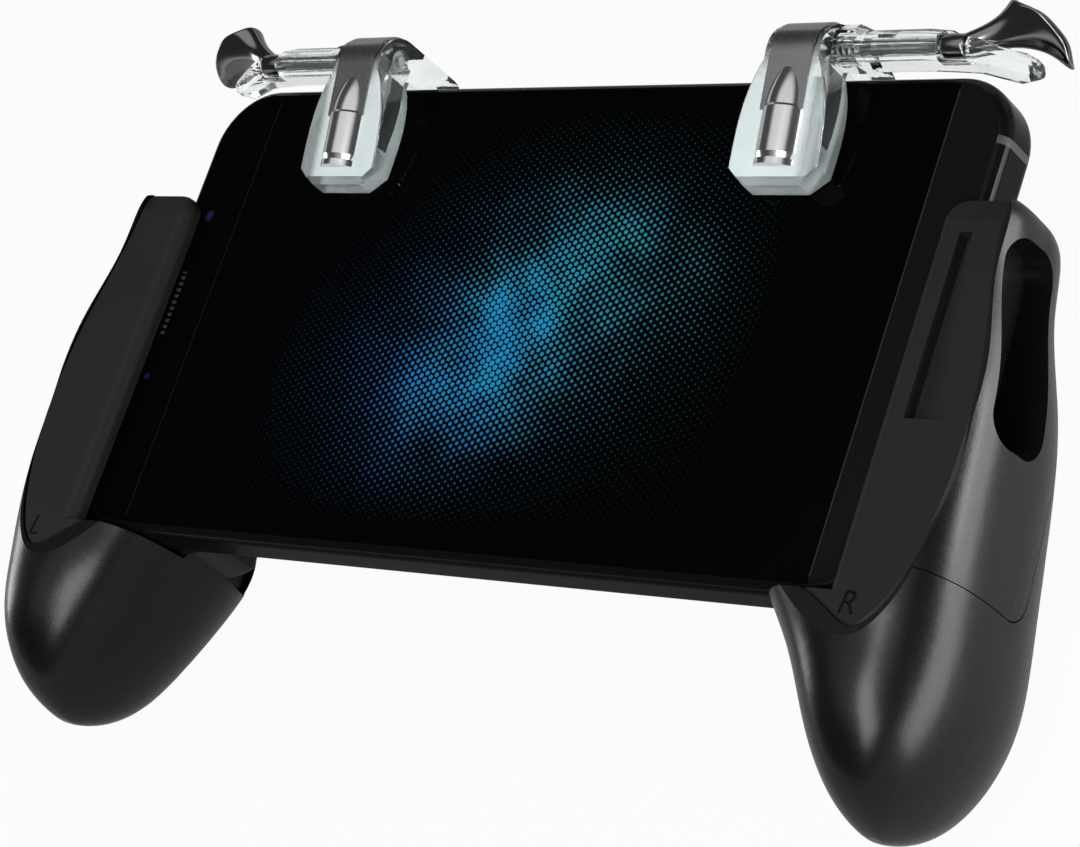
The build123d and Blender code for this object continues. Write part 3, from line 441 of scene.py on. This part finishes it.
class TriggerSettings(bpy.types.PropertyGroup):
    """Colours of the triggers."""

    clear_tint: FloatVectorProperty(
        name="Clear tint", description="Tint of the clear plastic",
        subtype="COLOR", size=3, min=0, max=1, default=(0.93, 0.975, 0.975))
    milky_tint: FloatVectorProperty(
        name="Milky tint", description="Pale tint inside the tab",
        subtype="COLOR", size=3, min=0, max=1, default=(0.72, 0.84, 0.84))
    strip_colour: FloatVectorProperty(
        name="Strip colour", description="Grey of the metal strip",
        subtype="COLOR", size=3, min=0, max=1, default=(0.32, 0.32, 0.325))
    chrome_colour: FloatVectorProperty(
        name="Inlay colour", description="Chrome of the bullet inlay",
        subtype="COLOR", size=3, min=0, max=1, default=(0.62, 0.62, 0.63))
    paddle_colour: FloatVectorProperty(
        name="Paddle colour", description="Dark chrome of the paddle",
        subtype="COLOR", size=3, min=0, max=1, default=(0.20, 0.20, 0.203))


class StageSettings(bpy.types.PropertyGroup):
    """Floor and light."""

    floor_size: FloatProperty(
        name="Floor size", description="Width of the floor", subtype="DISTANCE",
        unit="LENGTH", min=1, max=20, default=8)
    key_power: FloatProperty(
        name="Key lamp", description="Power of the long lamp over the front in watts",
        subtype="POWER", min=0, max=200, default=9.0)
    side_power: FloatProperty(
        name="Side lamps", description="Power of the low lamps at both sides in watts",
        subtype="POWER", min=0, max=200, default=2.4)
    low_power: FloatProperty(
        name="Low lamp", description="Power of the small lamp on the floor in watts",
        subtype="POWER", min=0, max=20, default=0.3)
    sky: FloatProperty(
        name="Sky light", description="Strength of the even light", min=0, max=2, default=0.22)
    flags: FloatProperty(
        name="Dark flags", description="Brightness of the dark studio flags in reflections",
        min=0, max=1, default=0.08)
    shadow: FloatProperty(
        name="Shadow share", description="How much of the floor's shadow shows",
        subtype="FACTOR", min=0, max=1, default=0.045)


# Operators


class GRIP_OT_handles(bpy.types.Operator):
    """Satin black finish of the two handles and their side covers"""

    bl_idname = "grip.handles"
    bl_label = "Handles"

    def execute(self, context):
        settings = context.scene.grip
        finish = Finish("Handle satin black")
        grain = finish.noise(settings.grain_mm, 2.0)
        patches = finish.noise(9.0, 3.0)
        dark = settings.handle_colour
        surface = finish.shader(
            Base_Color=finish.colour(patches, dark, times(dark, 1.5)),
            Roughness=settings.handle_roughness + (patches - 0.5) * 0.06 + (grain - 0.5) * 0.05,
            Specular_IOR_Level=0.26,
            Normal=finish.bump(grain, 0.02, 0.35))
        dress(finish.close(surface), *both("shell", "side_cover"))
        return {"FINISHED"}


class GRIP_OT_plates(bpy.types.Operator):
    """Matt finish of the two front plates"""

    bl_idname = "grip.plates"
    bl_label = "Front plates"

    def execute(self, context):
        settings = context.scene.grip
        finish = Finish("Plate matt black")
        grain = finish.noise(settings.grain_mm * 0.8, 2.0)
        patches = finish.noise(12.0, 3.0)
        dark = settings.plate_colour
        surface = finish.shader(
            Base_Color=finish.colour(patches, dark, times(dark, 1.3)),
            Roughness=0.5 + (patches - 0.5) * 0.08,
            Specular_IOR_Level=0.12,
            Normal=finish.bump(grain, 0.015, 0.4))
        dress(finish.close(surface), *both("plate"))
        return {"FINISHED"}


class GRIP_OT_bridge(bpy.types.Operator):
    """Matt moulded finish of the bridge and the rear housings"""

    bl_idname = "grip.bridge"
    bl_label = "Bridge and housings"

    def execute(self, context):
        settings = context.scene.grip
        finish = Finish("Bridge matt black")
        grain = finish.noise(settings.grain_mm, 3.0)
        patches = finish.noise(15.0, 3.0)
        dark = settings.bridge_colour
        surface = finish.shader(
            Base_Color=finish.colour(patches, dark, times(dark, 1.4)),
            Roughness=0.46 + (patches - 0.5) * 0.1,
            Specular_IOR_Level=0.2,
            Normal=finish.bump(grain, 0.02, 0.4))
        dress(finish.close(surface), *both("housing"), "bridge_sleeve", "bridge_lid",
              "bridge_arm")
        return {"FINISHED"}


class GRIP_OT_rubber(bpy.types.Operator):
    """Rubber of the slot liners, the trigger pads and the contact feet"""

    bl_idname = "grip.rubber"
    bl_label = "Rubber pieces"

    def execute(self, context):
        finish = Finish("Liner rubber")
        grain = finish.noise(0.5, 3.0)
        patches = finish.noise(6.0, 3.0)
        surface = finish.shader(
            Base_Color=finish.colour(patches, grey(0.003), grey(0.007)),
            Roughness=0.72 + (patches - 0.5) * 0.15,
            Specular_IOR_Level=0.12,
            Normal=finish.bump(grain, 0.03, 0.5))
        dress(finish.close(surface), *both("slot_liner", "trigger_pad"))
        foot = Finish("Foot rubber")
        specks = foot.noise(0.25, 3.0)
        surface = foot.shader(
            Base_Color=foot.colour(specks, (0.16, 0.17, 0.16), (0.26, 0.27, 0.26)),
            Roughness=0.6 + (specks - 0.5) * 0.2,
            Normal=foot.bump(specks, 0.02, 0.4))
        dress(foot.close(surface), *both("trigger_foot"))
        return {"FINISHED"}


class GRIP_OT_phone_body(bpy.types.Operator):
    """Frame, keys, back and camera of the phone"""

    bl_idname = "grip.phone_body"
    bl_label = "Phone body"

    def execute(self, context):
        settings = context.scene.phone
        metal = Finish("Phone frame black")
        x, y, z = metal.place()
        bands = y.size().within(*BAND_EDGES, 0.06) * x.size().above(BAND_START_X, 0.1)
        brush = metal.noise(0.5, 3.0, 0.5, (0.08, 1, 1))
        surface = metal.shader(
            Base_Color=metal.colour(bands, settings.metal_colour, settings.band_colour),
            Roughness=0.11 + bands * 0.2 + (brush - 0.5) * 0.06,
            Specular_IOR_Level=0.09,
            Normal=metal.bump(brush, 0.004, 0.3))
        # Painted shade: the faces of the frame and keys that face -y behind the glass get a
        # darker copy of the frame's finish with almost no reflection, mixed in at 0.85
        painted_shade = metal.shader(
            Base_Color=metal.colour(brush, grey(0.001), (0.0025, 0.0025, 0.0027)),
            Roughness=0.4 + (brush - 0.5) * 0.1,
            Specular_IOR_Level=0.01)
        under = (0 - metal.facing()[1]).above(0.7, 0.3) * z.below(-0.9, 0.3)
        dress(metal.close(metal.between(under * 0.85, surface, painted_shade)),
              "phone_frame", "volume_key", "power_key")
        back = Finish("Phone back black")
        haze = back.noise(20.0, 4.0)
        surface = back.shader(
            Base_Color=back.colour(haze, (0.0015, 0.0015, 0.0016), (0.003, 0.003, 0.0033)),
            Roughness=0.12 + (haze - 0.5) * 0.1,
            Specular_IOR_Level=0.15)
        dress(back.close(surface), "back_cover", "display_panel")
        ring = Finish("Camera ring")
        x, y = ring.place()[:2]
        lens = distance(x, y, REAR_LENS).below(REAR_LENS_RADIUS, 0.1)
        turned = ring.noise(0.3, 2.0)
        surface = ring.shader(
            Base_Color=ring.colour(lens, (0.06, 0.06, 0.065), (0.004, 0.006, 0.014)),
            Metallic=0.9 - lens * 0.9,
            Roughness=0.3 - lens * 0.25 + (turned - 0.5) * 0.05)
        dress(ring.close(surface), "rear_camera")
        return {"FINISHED"}


class GRIP_OT_screen(bpy.types.Operator):
    """Black front glass with a wave of lit dots"""

    bl_idname = "grip.screen"
    bl_label = "Screen"

    def execute(self, context):
        settings = context.scene.phone
        glass = Finish("Front glass")
        x, y = glass.place()[:2]
        lit = self.dots(glass, x, y, settings.dot_pitch_mm)
        hue = ((x + y * 0.6) / 60.0 + 0.5).clamped()
        drift = (glass.noise(16.0, 2.0) - 0.5) * 0.9
        tone = glass.colour(hue + drift, settings.blue, settings.teal)
        picture = glass.add("ShaderNodeVectorMath", {"operation": "SCALE"},
                            {0: tone, "Scale": lit})
        line = self.display_line(x, y)
        lens = distance(x, y, FRONT_LENS).below(0.9, 0.15)
        sensor = distance(x, y, FRONT_SENSOR).below(0.55, 0.1)
        slot = ((x - EARPIECE_X).size().below(0.5, 0.05)
                * y.size().below(EARPIECE_HALF_LENGTH, 0.1))
        mesh = (y * 6.0).math("SINE").above(0.0, 0.4) * slot
        base = glass.colour(x.above(DISPLAY_RIGHT_X, 0.1), (0.0009, 0.0009, 0.001), grey(0.006))
        base = glass.colour(lens + sensor * 0.6, base, (0.01, 0.012, 0.05))
        base = glass.colour(mesh * 0.7 + line * 0.5, base, (0.05, 0.05, 0.052))
        smear = glass.noise(30.0, 4.0)
        surface = glass.shader(
            Base_Color=base,
            Roughness=0.045 + slot * 0.4 + (smear - 0.5) * 0.03,
            Specular_IOR_Level=0.03,
            Emission_Color=picture,
            Emission_Strength=settings.glow)
        dress(glass.close(surface), "front_glass")
        return {"FINISHED"}

    def dots(self, glass, x, y, pitch):
        """How brightly each point is lit: rows of dots that grow along a curled ribbon."""
        along = (x * math.cos(DOT_TURN) + y * math.sin(DOT_TURN)) / pitch
        row = (y * math.cos(DOT_TURN) - x * math.sin(DOT_TURN)) / pitch / ROW_SPACING
        shift = row.math("FLOOR").math("MODULO", 2.0).size() * 0.5
        off_along = (along + shift).math("FRACT") - 0.5
        off_across = (row.math("FRACT") - 0.5) * ROW_SPACING
        away = (off_along * off_along + off_across * off_across) ** 0.5
        # The ribbon waves up and down by 9 mm, is about 17 mm wide and fades over 30 mm
        swirl = (x / 21.0 + (y / 15.0).math("SINE") * 0.9).math("SINE")
        ribbon = self.bell(y - swirl * 9.0 + 2.0, 17.0)
        spread = self.bell(x - 2.0, 30.0)
        power = ribbon * spread * (glass.noise(9.0, 3.0) + 0.2)
        radius = power * 0.42 + 0.06
        mask = ((radius - away) / 0.1 + 0.5).clamped()
        border = (x.size().below(PICTURE_HALF_LENGTH, 6.0)
                  * y.size().below(PICTURE_HALF_HEIGHT, 6.0))
        return mask * power.math("ADD", 0.05, clamp=True) * border

    def bell(self, value, width):
        """A smooth bump that is 1 at zero."""
        share = value / width
        return (0 - share * share).math("EXPONENT")

    def display_line(self, x, y):
        """The faint edge of the display at its two ends."""
        right = (x - DISPLAY_RIGHT_X).size().below(0.09, 0.05)
        left = (x - DISPLAY_LEFT_X).size().below(0.07, 0.05) * 0.35
        return (right + left) * y.size().below(DISPLAY_HALF_WIDTH, 0.2)


class GRIP_OT_clear_bodies(bpy.types.Operator):
    """Clear plastic of the trigger bodies and rockers"""

    bl_idname = "grip.clear_bodies"
    bl_label = "Clear bodies"

    def execute(self, context):
        settings = context.scene.trigger
        clear = Finish("Clear plastic")
        x, y = clear.place()[:2]
        flow = clear.noise(5.0, 3.0)
        scuffs = clear.noise(0.7, 3.0)
        streaks = clear.noise(2.2, 4.0, 0.6, (0.25, 1, 1))
        glassy = clear.shader(
            Base_Color=clear.colour(streaks.above(0.55, 0.35), settings.clear_tint,
                                    (0.82, 0.84, 0.84)),
            Roughness=0.03 + (scuffs - 0.5) * 0.03,
            IOR=1.49,
            Transmission_Weight=1.0,
            Normal=clear.bump(streaks, 0.2, 0.4))
        milky = clear.shader(
            Base_Color=clear.colour(flow, settings.milky_tint, (0.86, 0.93, 0.93)),
            Roughness=0.2,
            IOR=1.49,
            Transmission_Weight=0.2,
            Coat_Weight=0.6)
        tab = y.below(TAB_TOP_Y, 5.0) * x.size().below(TAB_OUTER_X, 1.0)
        front = clear.facing()[2].above(0.9, 0.1)
        outer = x.size().above(MILKY_OUTER_X, 1.2)
        milk = tab * (front * (0.85 - outer * 0.6) + 0.02) + 0.01
        dress(clear.close(clear.between(milk, glassy, milky)), *both("trigger_body"))
        rocker = Finish("Rocker plastic")
        flow = rocker.noise(3.0, 2.0)
        surface = rocker.shader(
            Base_Color=rocker.colour(flow, (0.80, 0.82, 0.66), (0.88, 0.90, 0.80)),
            Roughness=0.25 + (flow - 0.5) * 0.1,
            Transmission_Weight=0.5)
        dress(rocker.close(surface), *both("trigger_rocker"))
        return {"FINISHED"}


def polished(name, shade, roughness, spread):
    """A metal with fine lines from its polishing."""
    finish = Finish(name)
    lines = finish.noise(0.35, 3.0, 0.5, (1, 0.12, 1))
    haze = finish.noise(4.0, 3.0)
    surface = finish.shader(
        Base_Color=finish.colour(haze, times(shade, 0.85), shade),
        Metallic=1.0,
        Roughness=roughness + (lines - 0.5) * spread + (haze - 0.5) * spread * 0.5,
        Normal=finish.bump(lines, 0.003, 0.25))
    return finish.close(surface)


class GRIP_OT_trigger_metal(bpy.types.Operator):
    """Strip, bullet inlay, shafts, springs and screws"""

    bl_idname = "grip.trigger_metal"
    bl_label = "Trigger metal"

    def execute(self, context):
        settings = context.scene.trigger
        dress(polished("Strip satin metal", settings.strip_colour, 0.28, 0.12),
              *both("trigger_strip"))
        dress(polished("Bullet chrome", settings.chrome_colour, 0.19, 0.06),
              *both("trigger_bullet"))
        dress(polished("Shaft steel", (0.45, 0.45, 0.46), 0.25, 0.08),
              *both("trigger_shaft"), "guide_rods")
        dress(polished("Spring wire", (0.4, 0.4, 0.41), 0.3, 0.1),
              *both("trigger_spring"), "tension_spring")
        dress(polished("Blackened screws", (0.05, 0.05, 0.052), 0.35, 0.1),
              *both("housing_screws"), "bridge_screws")
        return {"FINISHED"}


class GRIP_OT_paddles(bpy.types.Operator):
    """Curled finger paddles on the outer ends of the trigger shafts"""

    bl_idname = "grip.paddles"
    bl_label = "Paddles"

    def execute(self, context):
        settings = context.scene.trigger
        chrome = polished("Paddle dark chrome", settings.paddle_colour, 0.14, 0.05)
        right = self.flare()
        hub = self.hub()
        bpy.ops.object.select_all(action="DESELECT")
        hub.select_set(True)
        right.select_set(True)
        bpy.context.view_layer.objects.active = right
        bpy.ops.object.join()
        left = mirror_copy(right, "left_finger_paddle")
        for piece, side in ((right, "right"), (left, "left")):
            put_on(piece, chrome, side + "_lever")
            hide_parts(side + "_trigger_paddle")
        return {"FINISHED"}

    def flare(self):
        """The horn of the right paddle: rings that grow towards its curled mouth."""
        opens = Vector(MOUTH_OPENS).normalized()
        lengthwise = Vector(MOUTH_LENGTHWISE)
        lengthwise = (lengthwise - opens * lengthwise.dot(opens)).normalized()
        to_local = Matrix((lengthwise, opens.cross(lengthwise), opens))
        mouth = Vector(MOUTH) * MM
        places = [to_local @ (Vector(ring[:3]) * MM - mouth) for ring in PADDLE_RINGS]
        bpy.ops.object.select_all(action="DESELECT")
        bpy.ops.mesh.primitive_circle_add(vertices=24, radius=MM, fill_type="NGON")
        horn = bpy.context.object
        bpy.ops.object.mode_set(mode="EDIT")
        bpy.ops.mesh.select_all(action="SELECT")
        bpy.ops.transform.resize(value=(*PADDLE_RINGS[0][3:], 1), center_override=(0, 0, 0))
        bpy.ops.transform.translate(value=places[0])
        for row in range(1, len(PADDLE_RINGS)):
            ring, last = PADDLE_RINGS[row], PADDLE_RINGS[row - 1]
            bpy.ops.mesh.extrude_region_move(
                TRANSFORM_OT_translate={"value": places[row] - places[row - 1]})
            bpy.ops.transform.resize(value=(ring[3] / last[3], ring[4] / last[4], 1),
                                     center_override=places[row])
        bpy.ops.object.mode_set(mode="OBJECT")
        self.curl(horn)
        smooth(horn, 2)
        turn = to_local.transposed().to_4x4()
        horn.matrix_world = Matrix.Translation(GLASS_CENTRE + mouth) @ turn
        settle(horn, "right_finger_paddle")
        turn_outwards()
        return horn

    def curl(self, horn):
        """Bends the two long ends of the mouth back towards the stem."""
        for reach, back in CURL_STEPS:
            pick(horn, "VERT", lambda vertex: abs(vertex.co.x) > reach * MM)
            bpy.ops.transform.translate(value=(0, 0, -back * MM))
            bpy.ops.object.mode_set(mode="OBJECT")

    def hub(self):
        """The short round hub that holds the paddle on its shaft."""
        bpy.ops.object.select_all(action="DESELECT")
        bpy.ops.mesh.primitive_cylinder_add(
            vertices=40, radius=HUB_RADIUS * MM, depth=HUB_LENGTH * MM,
            rotation=(0, math.radians(90), 0), location=GLASS_CENTRE + Vector(HUB) * MM)
        hub = bpy.context.object
        bpy.ops.object.mode_set(mode="EDIT")
        bpy.ops.mesh.bevel(offset=HUB_EDGE * MM, segments=3)
        bpy.ops.object.mode_set(mode="OBJECT")
        settle(hub, "paddle_hub")
        bpy.ops.object.shade_smooth_by_angle(angle=math.radians(35))
        return hub


class GRIP_OT_side_letters(bpy.types.Operator):
    """Plain side letters on the front plates"""

    bl_idname = "grip.side_letters"
    bl_label = "Side letters"

    def execute(self, context):
        ink = Finish("Letter black")
        grain = ink.noise(0.2, 2.0)
        surface = ink.shader(
            Base_Color=ink.colour(grain, grey(0.002), grey(0.004)),
            Roughness=0.5 + (grain - 0.5) * 0.1,
            Specular_IOR_Level=0.05,
            Normal=ink.bump(grain, 0.01, 0.3))
        material = ink.close(surface)
        height = context.scene.grip.mark_height
        for side, letter, x in LETTERS:
            middle = GLASS_CENTRE + Vector((x, LETTER_Y, 0)) * MM
            middle.z = self.surface(side + "_plate", middle)
            bpy.ops.object.select_all(action="DESELECT")
            bpy.ops.object.text_add(location=middle)
            mark = bpy.context.object
            mark.data.body = letter
            mark.data.align_x = mark.data.align_y = "CENTER"
            mark.data.size = height / CAPITAL_SHARE
            mark.data.shear = 0.15
            mark.data.offset = -0.006 * height
            mark.data.extrude = LETTER_HALF_DEPTH * MM
            bpy.ops.object.convert(target="MESH")
            turn_outwards(merge_mm=0.002)
            settle(mark, side + "_letter")
            put_on(mark, material, side + "_grip")
        return {"FINISHED"}

    def surface(self, name, point):
        """The height of a plate's face over a point."""
        hit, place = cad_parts[name].ray_cast((point.x, point.y, 0.1), (0, 0, -1))[:2]
        if not hit:
            raise RuntimeError("no surface of " + name + " under its letter")
        return place.z


class GRIP_OT_screw_recesses(bpy.types.Operator):
    """Flat dark crosses on the heads of the screws at the back, painted shade of their cross
    recesses
    """

    bl_idname = "grip.screw_recesses"
    bl_label = "Painted recess shade"

    def execute(self, context):
        # Painted shadow: a flat, nearly black cross on each screw's face stands for the shade
        # inside its cross recess
        dark = Finish("Recess shadow")
        grain = dark.noise(0.3, 2.0)
        material = dark.close(dark.shader(
            Base_Color=dark.colour(grain, grey(0.001), grey(0.004)),
            Roughness=0.5 + (grain - 0.5) * 0.2,
            Specular_IOR_Level=0.2))
        for row, (x, y, body) in enumerate(SCREW_PLACES):
            cross = self.cross()
            cross.location = (x * MM, y * MM, SCREW_FACE * MM)
            settle(cross, "painted_recess_shade_" + str(row + 1))
            put_on(cross, material, body)
        return {"FINISHED"}

    def cross(self):
        """A thin cross, drawn out of the four sides of a flat block."""
        bpy.ops.object.select_all(action="DESELECT")
        bpy.ops.mesh.primitive_cube_add(size=CROSS_WIDTH * MM)
        cross = bpy.context.object
        for normal in ((1, 0, 0), (-1, 0, 0), (0, 1, 0), (0, -1, 0)):
            aim = Vector(normal)
            # The block's own side face, not one of the arms that are there already
            pick(cross, "FACE", lambda face: face.normal.dot(aim) > 0.9
                 and face.center.dot(aim) > 0.2 * MM and abs(face.center.dot(aim.yxz)) < 0.1 * MM)
            bpy.ops.mesh.extrude_region_move(
                TRANSFORM_OT_translate={"value": aim * CROSS_ARM * MM})
            bpy.ops.transform.resize(
                value=(CROSS_TAPER, CROSS_TAPER, 1),
                center_override=aim * (CROSS_WIDTH / 2 + CROSS_ARM) * MM)
            bpy.ops.object.mode_set(mode="OBJECT")
        cross.scale = (1, 1, CROSS_FLATNESS)
        return cross


class GRIP_OT_stage(bpy.types.Operator):
    """Camera, floor and soft studio light"""

    bl_idname = "grip.stage"
    bl_label = "Stage"

    def execute(self, context):
        settings = context.scene.stage
        self.camera(context)
        self.floor(settings)
        self.world(context, settings)
        for name, (place, aim, size, power, share) in LAMPS.items():
            self.lamp(context, name, Vector(place), Vector(aim), size,
                      getattr(settings, power) * share)
        context.scene.view_settings.view_transform = "Standard"
        return {"FINISHED"}

    def camera(self, context):
        """The camera at the photograph's place and roll."""
        data = bpy.data.cameras.new("Camera")
        data.sensor_fit = "HORIZONTAL"
        data.sensor_width = 36.0
        data.lens = FOCAL_PX / IMAGE_WIDTH_PX * data.sensor_width
        data.clip_start = 0.01
        camera = bpy.data.objects.new("Camera", data)
        context.scene.collection.objects.link(camera)
        turn = Matrix((CAMERA_RIGHT, -CAMERA_DOWN, -CAMERA_FORWARD)).transposed()
        camera.matrix_world = Matrix.Translation(CAMERA_PLACE + GLASS_CENTRE) @ turn.to_4x4()
        context.scene.camera = camera

    def floor(self, settings):
        """A pale floor under the object that shows a soft shadow."""
        bpy.ops.mesh.primitive_plane_add(size=settings.floor_size,
                                         location=(0, 0, FLOOR_HEIGHT))
        floor = bpy.context.object
        floor.name = "Floor"
        finish = Finish("Floor")
        shade = finish.noise(300.0, 2.0)
        diffuse = finish.shader(
            Base_Color=finish.colour(shade, grey(0.36), grey(0.42)),
            Roughness=0.9,
            Specular_IOR_Level=0.0)
        white = finish.add("ShaderNodeEmission", None, {"Color": (1, 1, 1, 1), "Strength": 1.0})
        share = finish.background_rays(0.2) * (1 - settings.shadow)
        floor.data.materials.append(finish.close(finish.between(share, diffuse, white)))

    def world(self, context, settings):
        """Even light, white behind the object, and dark flags at the sides of the studio."""
        context.scene.world = bpy.data.worlds.new("Studio")
        tree = Tree(context.scene.world, "ShaderNodeOutputWorld")
        height = tree.axes(tree.add("ShaderNodeTexCoord", output="Generated"))[2]
        glossy = tree.add("ShaderNodeLightPath", output="Is Glossy Ray")
        flags = height.within(*FLAG_HEIGHTS, FLAG_SOFTNESS) * glossy
        white = tree.add("ShaderNodeMix", {"data_type": "RGBA"},
                         {0: flags, 6: (1, 1, 1, 1), 7: (*grey(settings.flags), 1)}, 2)
        seen = tree.add("ShaderNodeBackground", None, {"Color": white, "Strength": 1.0})
        even = tree.add("ShaderNodeBackground", None,
                        {"Color": (1, 1, 1, 1), "Strength": settings.sky})
        tree.close(tree.between(tree.background_rays(1.0), even, seen))

    def lamp(self, context, name, place, aim, size, power):
        """An oblong soft lamp that faces a point."""
        data = bpy.data.lights.new(name, "AREA")
        data.shape = "RECTANGLE"
        data.size, data.size_y = size
        data.energy = power
        lamp = bpy.data.objects.new(name, data)
        context.scene.collection.objects.link(lamp)
        lamp.visible_camera = False
        lamp.location = place
        lamp.rotation_euler = (aim - place).to_track_quat("-Z", "Y").to_euler()


class GRIP_PT_panel(bpy.types.Panel):
    """Lists the pieces of the phone grip"""

    bl_idname = "GRIP_PT_panel"
    bl_label = "Phone Grip"
    bl_space_type = "VIEW_3D"
    bl_region_type = "UI"
    bl_category = "Phone Grip"

    def draw(self, context):
        for operator in OPERATORS:
            self.layout.operator(operator.bl_idname)
        for group in SETTINGS:
            settings = getattr(context.scene, group)
            box = self.layout.box()
            for name in settings.__annotations__:
                box.prop(settings, name)


SETTINGS = {"grip": GripSettings, "phone": PhoneSettings, "trigger": TriggerSettings,
            "stage": StageSettings}
OPERATORS = (GRIP_OT_handles, GRIP_OT_plates, GRIP_OT_side_letters, GRIP_OT_bridge,
             GRIP_OT_screw_recesses, GRIP_OT_rubber, GRIP_OT_phone_body, GRIP_OT_screen,
             GRIP_OT_clear_bodies, GRIP_OT_trigger_metal, GRIP_OT_paddles, GRIP_OT_stage)


def register():
    for name, group in SETTINGS.items():
        bpy.utils.register_class(group)
        setattr(bpy.types.Scene, name, PointerProperty(type=group))
    for operator in OPERATORS:
        bpy.utils.register_class(operator)
    bpy.utils.register_class(GRIP_PT_panel)


def unregister():
    bpy.utils.unregister_class(GRIP_PT_panel)
    for operator in reversed(OPERATORS):
        bpy.utils.unregister_class(operator)
    for name, group in reversed(SETTINGS.items()):
        delattr(bpy.types.Scene, name)
        bpy.utils.unregister_class(group)


def main():
    register()
    bpy.ops.object.select_all(action="DESELECT")
    bpy.ops.grip.handles()
    bpy.ops.grip.plates()
    bpy.ops.grip.side_letters()
    bpy.ops.grip.bridge()
    bpy.ops.grip.screw_recesses()
    bpy.ops.grip.rubber()
    bpy.ops.grip.phone_body()
    bpy.ops.grip.screen()
    bpy.ops.grip.clear_bodies()
    bpy.ops.grip.trigger_metal()
    bpy.ops.grip.paddles()
    bpy.ops.grip.stage()


if __name__ == "__main__":
    main()
